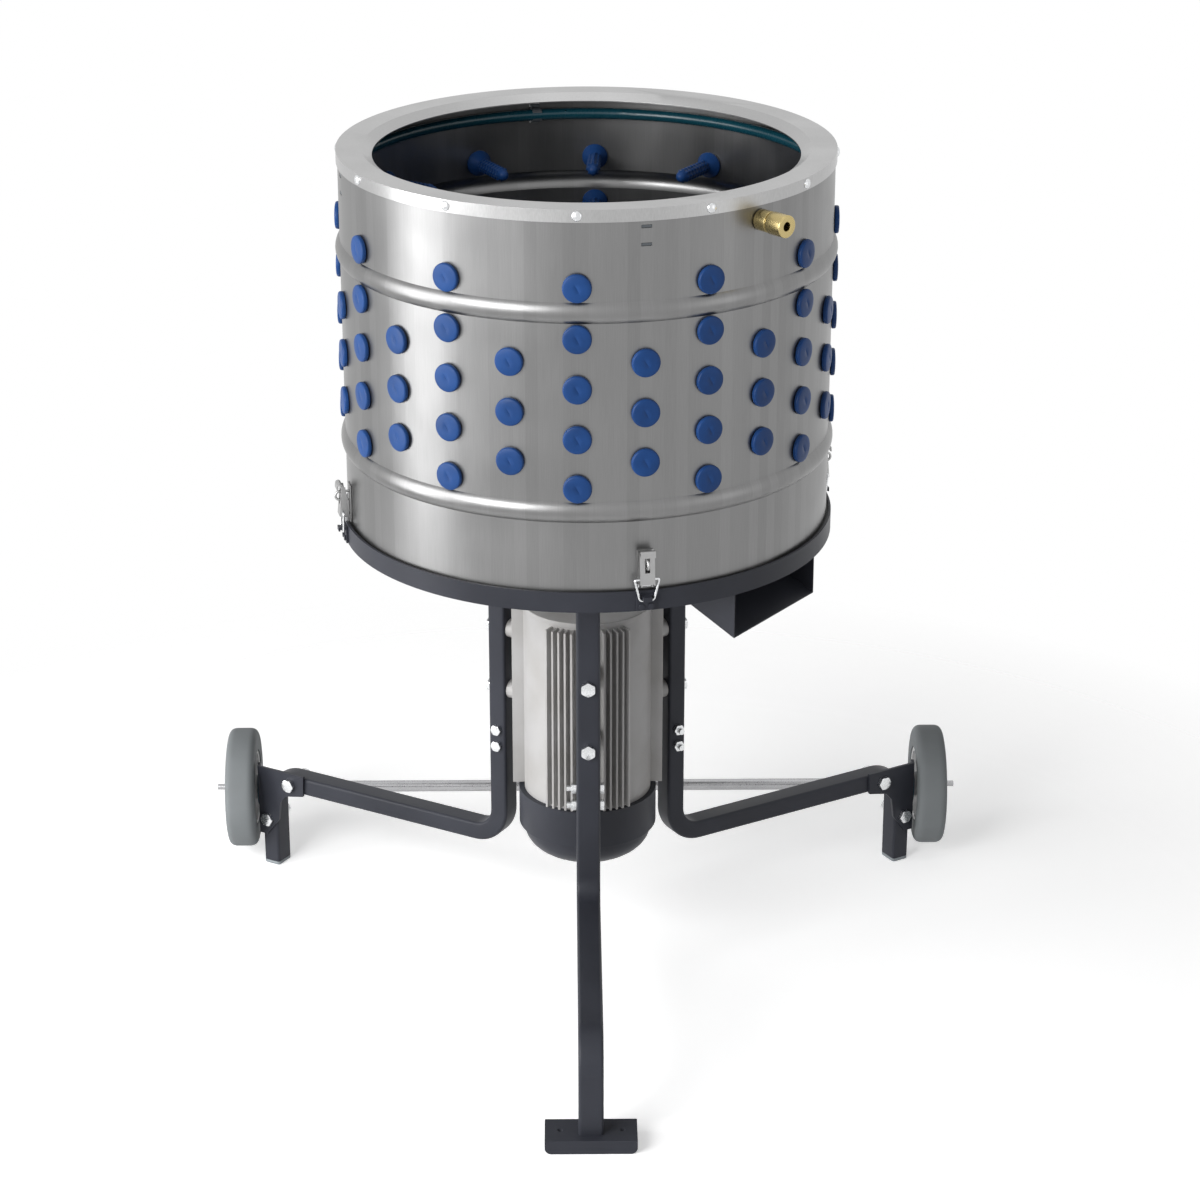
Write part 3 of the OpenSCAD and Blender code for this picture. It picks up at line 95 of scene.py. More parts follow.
# The drum axis is vertical and stands behind the origin. Azimuths round it are in degrees from +X.
AXIS = np.array([0.0, middle("feather_plate")[1], 0.0])
DRUM_R = 0.300
SHEET = 0.0015
RIM_TOP = height_range("rim_ring")[1]
SKIRT_R = reach("rim_ring")
HOSE_Z = middle("spray_hose")[2]
LEG_AZIMUTHS = (-90.0, 30.0, 150.0)
LEG_HALF = 0.015
LATCH_AZIMUTHS = tuple(-77.4 + 90 * k for k in range(4))
INLET_AZIMUTH = -49.0
# The shell was rolled in narrow flats, whose faint upright bands are painted shading in its colour
ROLLED_FLATS = 128

# The wall's fingers stand in 12 long and 12 short columns
COLUMNS = 12
FIRST_COLUMN = -2.5
COLUMN_STEP = 30
HEAD_R = 0.017
BOTTOM, TOP = height_range("long_column_fingers")
TOP_ROW = TOP - HEAD_R
ROW_PITCH = (TOP - BOTTOM - 2 * HEAD_R) / 4
# Each set of columns: its turn as a share of a step, and its rows, counted in pitches down from the top row
FINGER_SETS = {"long_column_fingers": (0, (0, 1, 2, 3, 4)), "short_column_fingers": (0.5, (1.5, 2.5, 3.5))}
# Each ring of the plate's fingers: its radius, its number of fingers and its turn as a share of a step
PLATE_RINGS = ((0.110, 8, 0), (0.1765, 12, 1 / 3), (0.243, 16, 2 / 3))


class PluckerSizes(bpy.types.PropertyGroup):
    """Sizes of the dressed pieces."""

    head_radius: bpy.props.FloatProperty(
        name="Head radius", description="Radius of a finger's outer head",
        default=HEAD_R, min=0.012, max=0.02, unit="LENGTH")
    head_height: bpy.props.FloatProperty(
        name="Head height", description="Height of a finger's outer head",
        default=0.0065, min=0.003, max=0.008, unit="LENGTH")
    finger_length: bpy.props.FloatProperty(
        name="Finger length", description="Length of a finger inside the sheet",
        default=0.078, min=0.05, max=0.09, unit="LENGTH")
    nub_rings: bpy.props.IntProperty(
        name="Nub rings", description="Rings of nubs along a finger's body",
        default=8, min=4, max=12)
    nub_height: bpy.props.FloatProperty(
        name="Nub height", description="How far a nub stands out of the finger's body",
        default=0.0018, min=0.0005, max=0.003, unit="LENGTH")
    screw_dome: bpy.props.FloatProperty(
        name="Screw dome", description="Height of a rim screw's domed head",
        default=0.003, min=0.001, max=0.003, unit="LENGTH")
    tyre_shoulder: bpy.props.FloatProperty(
        name="Tyre shoulder", description="Reach of the rounding of a tyre's shoulders",
        default=0.0115, min=0.004, max=0.014, unit="LENGTH")


class FinishColours(bpy.types.PropertyGroup):
    """Colours of the finishes, as linear values."""

    stainless: bpy.props.FloatVectorProperty(
        name="Stainless", description="Brushed stainless sheet", subtype="COLOR",
        default=(0.235, 0.235, 0.235), min=0, max=1)
    powder: bpy.props.FloatVectorProperty(
        name="Powder coat", description="Powder coat of the legs, the ring and the fan cover",
        subtype="COLOR", default=(0.030, 0.032, 0.041), min=0, max=1)
    rubber: bpy.props.FloatVectorProperty(
        name="Finger rubber", description="Blue rubber of the fingers", subtype="COLOR",
        default=(0.010, 0.051, 0.185), min=0, max=1)
    motor: bpy.props.FloatVectorProperty(
        name="Motor paint", description="Grey paint of the motor", subtype="COLOR",
        default=(0.385, 0.38, 0.378), min=0, max=1)
    tyre: bpy.props.FloatVectorProperty(
        name="Tyre", description="Grey rubber of the tyres", subtype="COLOR",
        default=(0.176, 0.19, 0.196), min=0, max=1)
    brass: bpy.props.FloatVectorProperty(
        name="Brass", description="Turned brass of the water inlet", subtype="COLOR",
        default=(0.50, 0.40, 0.185), min=0, max=1)
    hose: bpy.props.FloatVectorProperty(
        name="Hose", description="Teal nylon of the spray hose", subtype="COLOR",
        default=(0.004, 0.045, 0.065), min=0, max=1)


# Materials. Each one reads Object coordinates, and what is the same all over is set on its shader.

def link(tree, a, out, b, into):
    """Joins one node's output to another node's input."""
    tree.links.new(a.outputs[out], b.inputs[into])


def new_finish(name, colour, metallic, roughness, **sockets):
    """A material with its shader, its output and a node for Object coordinates."""
    mat = bpy.data.materials.new(name)
    mat.use_nodes = True
    tree = mat.node_tree
    tree.nodes.clear()
    out = tree.nodes.new("ShaderNodeOutputMaterial")
    shader = tree.nodes.new("ShaderNodeBsdfPrincipled")
    shader.inputs["Base Color"].default_value = (*colour, 1)
    shader.inputs["Metallic"].default_value = metallic
    shader.inputs["Roughness"].default_value = roughness
    for socket, value in sockets.items():
        shader.inputs[socket.replace("_", " ")].default_value = value
    link(tree, shader, "BSDF", out, "Surface")
    coords = tree.nodes.new("ShaderNodeTexCoord")
    return mat, tree, shader, coords


def noise(tree, coords, scale, detail, stretch=(1, 1, 1)):
    """A noise pattern on Object coordinates, stretched along the axes."""
    mapping = tree.nodes.new("ShaderNodeMapping")
    mapping.inputs["Scale"].default_value = stretch
    link(tree, coords, "Object", mapping, "Vector")
    pattern = tree.nodes.new("ShaderNodeTexNoise")
    pattern.inputs["Scale"].default_value = scale
    pattern.inputs["Detail"].default_value = detail
    link(tree, mapping, "Vector", pattern, "Vector")
    return pattern


def calculate(tree, operation, value=None):
    """A math node, with its second value set where one is given."""
    node = tree.nodes.new("ShaderNodeMath")
    node.operation = operation
    if value is not None:
        node.inputs[1].default_value = value
    return node


def span(tree, source, out, low, high, into_low=0.0, into_high=1.0):
    """Maps the part of a pattern between two values onto another span."""
    node = tree.nodes.new("ShaderNodeMapRange")
    node.inputs["From Min"].default_value = low
    node.inputs["From Max"].default_value = high
    node.inputs["To Min"].default_value = into_low
    node.inputs["To Max"].default_value = into_high
    link(tree, source, out, node, "Value")
    return node


def blend_colours(tree, factor, out, first, second):
    """Two colours, mixed by a pattern."""
    mix = tree.nodes.new("ShaderNodeMix")
    mix.data_type = "RGBA"
    mix.inputs["A"].default_value = (*first, 1)
    mix.inputs["B"].default_value = (*second, 1)
    link(tree, factor, out, mix, "Factor")
    return mix


def bump(tree, shader, pattern, depth, strength):
    """A bump of a real depth in metres from a pattern."""
    node = tree.nodes.new("ShaderNodeBump")
    node.inputs["Distance"].default_value = depth
    node.inputs["Strength"].default_value = strength
    link(tree, pattern, "Fac", node, "Height")
    link(tree, node, "Normal", shader, "Normal")


def wear(tree, shader, tone, gloss, relief):
    """Sets a finish's colour, roughness and bump from its patterns.

    The tone is (pattern, low, high, colour at low, colour at high), the gloss is (pattern, low, high,
    roughness at low, roughness at high) and the relief is (pattern, depth, strength).
    """
    pattern, low, high, first, second = tone
    mixed = blend_colours(tree, span(tree, pattern, "Fac", low, high), "Result", first, second)
    link(tree, mixed, "Result", shader, "Base Color")
    pattern, low, high, first, second = gloss
    link(tree, span(tree, pattern, "Fac", low, high, first, second), "Result", shader, "Roughness")
    bump(tree, shader, *relief)


def shade(colour, factor):
    """A colour made lighter or darker."""
    return tuple(min(1.0, c * factor) for c in colour)


def azimuth_field(tree, coords):
    """The azimuth round the drum axis in radians, and the coordinates from that axis on."""
    shift = tree.nodes.new("ShaderNodeMapping")
    shift.inputs["Location"].default_value = (0, -AXIS[1], 0)
    link(tree, coords, "Object", shift, "Vector")
    parts = tree.nodes.new("ShaderNodeSeparateXYZ")
    link(tree, shift, "Vector", parts, "Vector")
    turn = calculate(tree, "ARCTAN2")
    link(tree, parts, "Y", turn, 0)
    link(tree, parts, "X", turn, 1)
    return turn, parts


def drum_stainless(colour):
    """Brushed sheet: fine upright grain, painted shading that differs slightly from one narrow rolled flat to
    the next, blotches in gloss.
    """
    mat, tree, shader, coords = new_finish("brushed stainless drum", colour, 1.0, 0.36)
    turn, parts = azimuth_field(tree, coords)
    around = tree.nodes.new("ShaderNodeCombineXYZ")
    link(tree, turn, "Value", around, "X")
    link(tree, parts, "Z", around, "Z")
    # Each of the rolled flats gets its own slight random tone: painted shading for how differently each flat
    # catches the light
    flats = calculate(tree, "MULTIPLY", ROLLED_FLATS / TAU)
    link(tree, turn, "Value", flats, 0)
    step = calculate(tree, "FLOOR")
    link(tree, flats, "Value", step, 0)
    painted_flat_shading = tree.nodes.new("ShaderNodeTexWhiteNoise")
    painted_flat_shading.noise_dimensions = "1D"
    link(tree, step, "Value", painted_flat_shading, "W")
    grain_place = tree.nodes.new("ShaderNodeMapping")
    grain_place.inputs["Scale"].default_value = (420.0, 1.0, 24.0)
    link(tree, around, "Vector", grain_place, "Vector")
    grain = tree.nodes.new("ShaderNodeTexNoise")
    grain.inputs["Scale"].default_value = 1.0
    grain.inputs["Detail"].default_value = 5.0
    link(tree, grain_place, "Vector", grain, "Vector")
    cloud = noise(tree, coords, 9.0, 2.0)
    # The tone of the flats is painted shading, multiplied with the brushed grain below
    tone = blend_colours(tree, painted_flat_shading, "Value", shade(colour, 0.94), shade(colour, 1.04))
    fine = blend_colours(tree, span(tree, grain, "Fac", 0.25, 0.75), "Result", (0.88,) * 3, (1.0,) * 3)
    both = tree.nodes.new("ShaderNodeMix")
    both.data_type = "RGBA"
    both.blend_type = "MULTIPLY"
    both.inputs["Factor"].default_value = 1.0
    link(tree, tone, "Result", both, "A")
    link(tree, fine, "Result", both, "B")
    link(tree, both, "Result", shader, "Base Color")
    rough = span(tree, cloud, "Fac", 0.3, 0.7, 0.30, 0.42)
    link(tree, rough, "Result", shader, "Roughness")
    bump(tree, shader, grain, 0.00003, 0.5)
    return mat


def flat_stainless(colour):
    """Sheet with a fine even grain, for the rim, the pan and the plate."""
    mat, tree, shader, coords = new_finish("flat stainless", colour, 1.0, 0.34)
    grain = noise(tree, coords, 900.0, 4.0, (1, 1, 0.2))
    cloud = noise(tree, coords, 14.0, 2.0)
    wear(tree, shader, (grain, 0.3, 0.7, shade(colour, 0.88), colour),
         (cloud, 0.3, 0.7, 0.29, 0.40), (grain, 0.00003, 0.4))
    return mat


def powder_coat(colour):
    """Dark satin powder coat with a fine orange peel, a little dust in broad patches."""
    mat, tree, shader, coords = new_finish("powder coat", colour, 0.0, 0.42, Specular_IOR_Level=0.2)
    dust = noise(tree, coords, 7.0, 5.0)
    speck = noise(tree, coords, 650.0, 2.0)
    wear(tree, shader, (dust, 0.35, 0.7, shade(colour, 0.86), shade(colour, 1.22)),
         (dust, 0.35, 0.7, 0.38, 0.50), (speck, 0.00012, 0.5))
    return mat


def finger_rubber(colour):
    """Blue rubber: slight cloudy tint, a fine pore bump and uneven sheen."""
    mat, tree, shader, coords = new_finish("finger rubber", colour, 0.0, 0.42, Specular_IOR_Level=0.22)
    cloud = noise(tree, coords, 26.0, 4.0)
    pore = noise(tree, coords, 1500.0, 2.0)
    wear(tree, shader, (cloud, 0.3, 0.7, shade(colour, 0.82), shade(colour, 1.15)),
         (cloud, 0.3, 0.7, 0.37, 0.51), (pore, 0.00008, 0.5))
    return mat


def moulded(name, colour, roughness, grain=900.0, depth=0.0001, tint=0.10):
    """Moulded plastic or rubber with an even grain and a faint cloud in its colour."""
    mat, tree, shader, coords = new_finish(name, colour, 0.0, roughness, Specular_IOR_Level=0.45)
    cloud = noise(tree, coords, 18.0, 4.0)
    fine = noise(tree, coords, grain, 3.0)
    wear(tree, shader, (cloud, 0.3, 0.7, shade(colour, 1 - tint), shade(colour, 1 + tint)),
         (fine, 0.3, 0.7, roughness - 0.05, roughness + 0.06), (fine, depth, 0.6))
    return mat


def bare_metal(name, colour, roughness, grain=700.0, stretch=(1, 1, 1), tint=0.08):
    """Plain metal with fine marks that change its tone and its gloss."""
    mat, tree, shader, coords = new_finish(name, colour, 1.0, roughness)
    cloud = noise(tree, coords, 30.0, 5.0)
    fine = noise(tree, coords, grain, 4.0, stretch)
    wear(tree, shader, (cloud, 0.3, 0.7, shade(colour, 1 - tint), shade(colour, 1 + tint / 2)),
         (fine, 0.3, 0.7, roughness - 0.06, roughness + 0.08), (fine, 0.00004, 0.5))
    return mat


def cast_paint(colour):
    """Satin paint on cast aluminium: a soft cast bump, and faint brownish dust in patches."""
    mat, tree, shader, coords = new_finish("motor paint", colour, 0.0, 0.45, Specular_IOR_Level=0.5)
    cast = noise(tree, coords, 260.0, 4.0)
    dust = noise(tree, coords, 12.0, 6.0)
    dusty = (colour[0] * 0.86, colour[1] * 0.84, colour[2] * 0.81)
    wear(tree, shader, (dust, 0.4, 0.75, shade(colour, 1.05), dusty),
         (dust, 0.35, 0.7, 0.40, 0.58), (cast, 0.00025, 0.5))
    return mat


def build_finishes(colours):
    """All the finishes by their record slot, and the drum shell's own one."""
    stainless = tuple(colours.stainless)
    return {
        "drum": drum_stainless(stainless),
        "brushed_stainless": flat_stainless(shade(stainless, 1.9)),
        "latch_steel": bare_metal("latch steel", shade(stainless, 1.7), 0.36, grain=800.0,
                                  stretch=(1, 1, 0.15)),
        "bright_zinc": bare_metal("bright zinc", (0.70, 0.71, 0.72), 0.24, grain=500.0),
        "hose_teal": moulded("hose nylon", tuple(colours.hose), 0.28),
        "clip_plastic": moulded("clip plastic", (0.09, 0.10, 0.11), 0.5),
        "inlet_brass": bare_metal("turned brass", tuple(colours.brass), 0.26, grain=900.0, tint=0.06),
        "finger_rubber": finger_rubber(tuple(colours.rubber)),
        "black_rubber": moulded("black rubber", (0.014, 0.014, 0.015), 0.6),
        "powder_coat": powder_coat(tuple(colours.powder)),
        "plug_grey": moulded("grey plug", (0.24, 0.265, 0.28), 0.5),
        "turned_steel": bare_metal("turned steel", (0.42, 0.42, 0.43), 0.30, grain=900.0),
        "washer_teal": moulded("washer plastic", (0.004, 0.075, 0.135), 0.42),
        "tyre_grey": moulded("tyre rubber", tuple(colours.tyre), 0.72, grain=1300.0, depth=0.0002, tint=0.06),
        "hub_plastic": moulded("hub plastic", (0.62, 0.62, 0.62), 0.42, grain=700.0, depth=0.00006,
                               tint=0.03),
        "motor_paint": cast_paint(tuple(colours.motor)),
        "motor_core": bare_metal("motor core", (0.30, 0.22, 0.15), 0.5),
        "black_plastic": moulded("black plastic", (0.018, 0.018, 0.019), 0.45),
    }


def paint_cad(made):
    """Gives each CAD node the finish of its slot in the record, and the drum shell its own one."""
    for node, slot in SLOTS.items():
        materials = frame["nodes"][node].data.materials
        materials.clear()
        materials.append(made[slot])
    frame["nodes"]["drum_shell"].data.materials[0] = made["drum"]


FINISHES = {}


def finishes():
    """The finishes, made once from the scene's colours."""
    if not FINISHES:
        FINISHES.update(build_finishes(bpy.context.scene.plucker_colours))
        paint_cad(FINISHES)
    return FINISHES


# Mesh helpers. Every surface is a grid of points, given as whole arrays.

def turned(points, azimuth_deg):
    """Points turned about the drum axis, from the frame where that axis is at 0 and +X points outwards."""
    a = math.radians(azimuth_deg)
    spin = np.array([[math.cos(a), math.sin(a), 0], [-math.sin(a), math.cos(a), 0], [0, 0, 1]])
    return points @ spin + AXIS


def grid_faces(rows, cols, wrap_rows=False, wrap_cols=False, offset=0):
    """Quads between the points of a grid whose rows run one after another."""
    r = np.arange(rows if wrap_rows else rows - 1)
    c = np.arange(cols if wrap_cols else cols - 1)
    i, j = np.meshgrid(r, c, indexing="ij")
    i2, j2 = (i + 1) % rows, (j + 1) % cols
    quads = np.stack([i * cols + j, i2 * cols + j, i2 * cols + j2, i * cols + j2], axis=-1)
    return quads.reshape(-1, 4) + offset


def turns(count):
    """Turns in radians, evenly spaced round a circle."""
    return np.arange(count) * TAU / count


def spun(x, r, t):
    """The points (x, r cos t, r sin t), row after row: x and r hold a row each, or one value for a row."""
    y, z = r * np.cos(t), r * np.sin(t)
    return np.stack([np.broadcast_to(x, y.shape), y, z], axis=-1).reshape(-1, 3)


def capped(points, rows, cols, ends):
    """A patch of closed rows of points: quads between the rows, and a fan to an end point at each end."""
    ring = np.arange(cols)
    after = (ring + 1) % cols
    first, base = rows * cols, (rows - 1) * cols
    tris = np.concatenate([np.stack([np.full(cols, first), ring, after], axis=-1),
                           np.stack([np.full(cols, first + 1), base + after, base + ring], axis=-1)])
    return np.concatenate([points, ends]), grid_faces(rows, cols, wrap_cols=True), tris


class Pile:
    """Collects patches of points, quads and triangles, then makes one mesh object of them."""

    def __init__(self):
        self.points, self.quads, self.tris, self.count = [], [], [], 0

    def add(self, points, quads, tris):
        """Adds a patch. Its triangles are None where it has none."""
        self.points.append(points)
        self.quads.append(quads + self.count)
        if tris is not None:
            self.tris.append(tris + self.count)
        self.count += len(points)

    def copies(self, patch, azimuths, shift):
        """Adds a patch once for each azimuth, each copy moved by the shift before it is turned."""
        points, quads, tris = patch
        for azimuth in azimuths:
            self.add(turned(points + np.asarray(shift), azimuth), quads, tris)

    def make(self, node, slot, sharp, body="frame", name=None):
        """Makes the object that takes a CAD node's place, with its finish, on its body.

        Its name is the node's with "_dressed", unless another one is given. Edges that turn by more than the
        sharp angle, in degrees, are shaded as edges.
        """
        name = name or node + "_dressed"
        points = np.concatenate(self.points)
        quads = np.concatenate(self.quads)
        tris = np.concatenate(self.tris) if self.tris else np.zeros((0, 3), int)
        corners = np.concatenate([quads.ravel(), tris.ravel()])
        starts = np.concatenate([np.arange(len(quads)) * 4, quads.size + np.arange(len(tris)) * 3])
        mesh = bpy.data.meshes.new(name)
        mesh.vertices.add(len(points))
        mesh.vertices.foreach_set("co", points.astype(np.float32).ravel())
        mesh.loops.add(len(corners))
        mesh.loops.foreach_set("vertex_index", corners.astype(np.int32))
        mesh.polygons.add(len(starts))
        mesh.polygons.foreach_set("loop_start", starts.astype(np.int32))
        mesh.update(calc_edges=True)
        mesh.validate()
        mesh.polygons.foreach_set("use_smooth", np.full(len(mesh.polygons), True))
        mesh.set_sharp_from_angle(angle=math.radians(sharp))
        mesh.update()
        obj = bpy.data.objects.new(name, mesh)
        bpy.context.scene.collection.objects.link(obj)
        obj.data.materials.append(finishes()[slot])
        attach(obj, body)
        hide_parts(node)


def lathe(profile, segments):
    """A closed surface of revolution about +X, from rows of (x, radius) that begin and end on the axis.

    The rows run from the highest x to the lowest, and a fan of triangles closes each end.
    """
    points = spun(profile[1:-1, :1], profile[1:-1, 1:], turns(segments))
    ends = np.array([[profile[0, 0], 0, 0], [profile[-1, 0], 0, 0]])
    return capped(points, len(profile) - 2, segments, ends)


def ring_lathe(profile, segments):
    """A ring of revolution about +X, from a closed loop of (x, radius).

    The loop's outer side runs from the highest x to the lowest.
    """
    points = spun(profile[:, :1], profile[:, 1:], turns(segments))
    return points, grid_faces(len(profile), segments, wrap_rows=True, wrap_cols=True), None


def rounded_loop(corners, radii, steps=4):
    """A closed polygon with its corners rounded, each by its own radius, by curves that are close to arcs.

    From the point a before a corner p to the point b after it, both a radius away from it, the curve is
    (1-t)^2 a + 2t(1-t) p + t^2 b.
    """
    corners = np.asarray(corners, float)
    t = np.linspace(0, 1, steps + 1)[:, None]
    out = []
    for i, radius in enumerate(radii):
        p = corners[i]
        if radius <= 0:
            out.append(p[None])
            continue
        a, b = [p + side / np.linalg.norm(side) * min(radius, 0.49 * np.linalg.norm(side))
                for side in (corners[i - 1] - p, corners[(i + 1) % len(corners)] - p)]
        out.append((1 - t) ** 2 * a + 2 * t * (1 - t) * p + t ** 2 * b)
    return np.concatenate(out)


def tube(path, radius, around):
    """A round wire along a path: each point of the path carries a circle square to the path.

    Two directions square to the path come from one fixed direction that the path never follows.
    """
    ahead = np.gradient(path, axis=0)
    ahead /= np.linalg.norm(ahead, axis=1, keepdims=True)
    fixed = np.zeros(3)
    fixed[np.argmin(np.ptp(path, axis=0))] = 1.0
    side = np.cross(ahead, fixed)
    side /= np.linalg.norm(side, axis=1, keepdims=True)
    up = np.cross(side, ahead)
    t = turns(around)[None, :, None]
    loops = path[:, None] + radius * (side[:, None] * np.cos(t) + up[:, None] * np.sin(t))
    return capped(loops.reshape(-1, 3), len(path), around, loops[[0, -1]].mean(axis=1))


# Fingers

# The front of a head is a grid of u by v, with lines close together where the slit's walls and ends are
GRID_U = np.array([-1, -.72, -.4, -.036, 0, .036, .4, .72, 1])
GRID_V = np.array([-1, -.68, -.38, -.27, 0, .27, .38, .68, 1])
SLIT_TURN = math.radians(28)
SLIT_DEPTH, SLIT_WIDTH, SLIT_HALF_LENGTH, SLIT_RUNOUT = 0.0007, 0.00045, 0.0052, 0.0012
HEAD_SWELL = 0.0009
NECK_R = 0.010
ROOT_R = 0.0165
BODY_R = 0.0074
TIP_DOME = 0.0085


def head_front(sizes, top):
    """The front of a finger's head: its points, its quads, and the points and turns of its edge, in order.

    A square grid of (u, v) is pressed into a disc, y = u sqrt(1 - v^2/2) and z = v sqrt(1 - u^2/2), with a
    groove along the slit whose depth falls off as a bell curve.
    """
    u, v = np.meshgrid(GRID_U, GRID_V, indexing="ij")
    radius = 0.90 * sizes.head_radius
    y = u * np.sqrt(1 - v ** 2 / 2) * radius
    z = v * np.sqrt(1 - u ** 2 / 2) * radius
    runout = np.clip((SLIT_HALF_LENGTH - np.abs(z)) / SLIT_RUNOUT, 0, 1)
    groove = SLIT_DEPTH * np.exp(-(y / SLIT_WIDTH) ** 2) * runout
    swell = HEAD_SWELL * (1 - (y ** 2 + z ** 2) / radius ** 2)
    x = top - HEAD_SWELL + swell - groove
    c, s = math.cos(SLIT_TURN), math.sin(SLIT_TURN)
    points = np.stack([x, c * y - s * z, s * y + c * z], axis=-1).reshape(-1, 3)
    nu, nv = u.shape
    edge = np.concatenate([np.arange(nv - 1), np.arange(nu - 1) * nv + nv - 1,
                           (nu - 1) * nv + np.arange(nv - 1, 0, -1), np.arange(nu - 1, 0, -1) * nv])
    t = np.arctan2(points[edge, 2], points[edge, 1])
    return points, grid_faces(nu, nv), edge[np.argsort(t)], np.sort(t)


def finger_patch(sizes, face, head):
    """One rubber finger along +X, from its outer head to its domed tip.

    The sheet or plate that holds it lies between its face and its head's seat, which are given as x. From the
    head's front, rings of (x, radius) run back to the tip. The body's radius swells to a flat top at each
    ring of nubs, times a clipped cosine of eight turns round the finger.
    """
    top = head + sizes.head_height
    front, front_quads, edge, t = head_front(sizes, top)
    cols = len(edge)
    # The rings behind the front are evenly spaced round the finger
    t = t.mean() + (np.arange(cols) - (cols - 1) / 2) * TAU / cols
    rim = [(top - 0.0013, 0.955), (top - 0.0021, 0.985), (top - 0.0032, 1.0), (head + 0.0012, 1.0),
           (head + 0.0003, 0.975), (head + 0.0001, 0.93)]
    root = [(head, NECK_R), (face, NECK_R), (face, ROOT_R - 0.0006), (face - 0.0006, ROOT_R),
            (face - 0.0026, ROOT_R), (face - 0.0034, ROOT_R - 0.0006), (face - 0.012, 0.010)]
    rows = np.array([(x, share * sizes.head_radius) for x, share in rim] + root)
    nubs = sizes.nub_rings
    start, end = face - 0.014, face - sizes.finger_length + TIP_DOME
    pitch = (start - end) / nubs
    along = start - pitch * (np.repeat(np.arange(nubs), 4) + np.tile([0.12, 0.30, 0.66, 0.84], nubs))
    height = np.tile([0.0, 1.0, 1.0, 0.0], nubs)[:, None] * sizes.nub_height
    lobes = np.clip(0.5 + 0.9 * np.cos(8 * (t - t[0]) + math.pi / 4), 0, 1)
    dome = np.radians([18, 42, 66])[:, None]
    x = np.concatenate([rows[:, 0], along, end - TIP_DOME * np.sin(dome[:, 0])])
    r = np.concatenate([np.repeat(rows[:, 1:], cols, axis=1), BODY_R + height * lobes,
                        np.repeat(BODY_R * np.cos(dome), cols, axis=1)])
    rings = spun(x[:, None], r, t)
    first, last = len(front), len(front) + len(rings)
    ring, base = np.arange(cols), last - cols
    after = (ring + 1) % cols
    quads = np.concatenate([front_quads, grid_faces(len(x), cols, wrap_cols=True, offset=first),
                            np.stack([edge, first + ring, first + after, edge[after]], axis=-1)])
    tris = np.stack([np.full(cols, last), base + after, base + ring], axis=-1)
    tip = np.array([[face - sizes.finger_length, 0, 0]])
    return np.concatenate([front, rings, tip]), quads, tris


def build_drum_fingers():
    """The fingers of the drum's wall, in their two sets of columns."""
    patch = finger_patch(bpy.context.scene.plucker_sizes, DRUM_R - SHEET - 0.0008, DRUM_R + 0.0003)
    for node, (turn, rows) in FINGER_SETS.items():
        azimuths = [FIRST_COLUMN + COLUMN_STEP * (c + turn) for c in range(COLUMNS)]
        pile = Pile()
        for row in rows:
            pile.copies(patch, azimuths, (0, 0, TOP_ROW - ROW_PITCH * row))
        pile.make(node, "finger_rubber", 50)


def build_plate_fingers():
    """The fingers that stand on the turning plate, in three rings."""
    top, thickness = height_range("feather_plate")[1], 0.0030
    points, quads, tris = finger_patch(bpy.context.scene.plucker_sizes, 0.0, thickness)
    # The finger's own +X points down, so its tip stands up from the plate
    upright = np.stack([points[:, 2], points[:, 1], -points[:, 0]], axis=-1)
    pile = Pile()
    for radius, count, share in PLATE_RINGS:
        azimuths = [360 / count * (i + share) for i in range(count)]
        pile.copies((upright, quads, tris), azimuths, (radius, 0, top))
    pile.make("plate_fingers", "finger_rubber", 50, body="rotor")


# Bolts. A size is the width across the flats, the head's height and the shank's radius.

M10 = (0.017, 0.0064, 0.005)
M8 = (0.013, 0.0053, 0.004)
HEX_SEGMENTS = 36


def hex_points(flats, height, tail):
    """The points of a hexagon along +X from its top's edge to its seat, then of a tail's rows of (x, radius).

    The radius at turn t is half the flats over the cosine of the angle from the nearest flat's middle. The
    top's edge drops by the excess over half the flats times the tangent of 30 degrees.
    """
    t = (np.arange(HEX_SEGMENTS) + 0.5) * TAU / HEX_SEGMENTS
    from_flat = (t + math.pi / 6) % (math.pi / 3) - math.pi / 6
    r_hex = flats / 2 / np.cos(from_flat)
    drop = (r_hex - flats / 2 * 0.97) * math.tan(math.radians(30))
    rows = [(height, flats / 2 * 0.90), (height - drop, r_hex), (0.0003, r_hex), (0, r_hex - 0.0004), *tail]
    x, r = [np.array([np.broadcast_to(row[k], t.shape) for row in rows]) for k in (0, 1)]
    return spun(x, r, t), len(rows)


def nut_patch(flats, height, bore_r):
    """A nut along +X with an open bore: the hexagon's rows close through the bore into one loop."""
    points, rows = hex_points(flats, height, [(0, bore_r), (height, bore_r)])
    return points, grid_faces(rows, HEX_SEGMENTS, wrap_rows=True, wrap_cols=True), None


def bolt_patch(flats, height, shank_r, shank_length):
    """A bolt along +X: a hexagon head with its corners cut by a cone, and a round shank behind it."""
    points, rows = hex_points(flats, height, [(0, shank_r), (-shank_length, shank_r)])
    return capped(points, rows, HEX_SEGMENTS, np.array([[height, 0, 0], [-shank_length, 0, 0]]))


def across(patch, flip=False):
    """A patch turned so that its +X points along +Y, or along -Y if flipped, as for bolts across a leg."""
    points, quads, tris = patch
    x, y, z = points.T
    return np.stack([-z, -x, y] if flip else [z, x, y], axis=-1), quads, tris


def about_face(patch):
    """A patch turned half a turn about Z, so that its +X points inwards."""
    points, quads, tris = patch
    return points * np.array([-1, -1, 1]), quads, tris


def build_motor_bolts():
    """The bolts that hold the legs to the motor."""
    seat, heights = 0.1405, (0.431, 0.345)
    pile = Pile()
    for z in heights:
        pile.copies(bolt_patch(*M10, shank_length=0.047), LEG_AZIMUTHS, (seat, 0, z))
    pile.make("motor_bolts", "bright_zinc", 25)


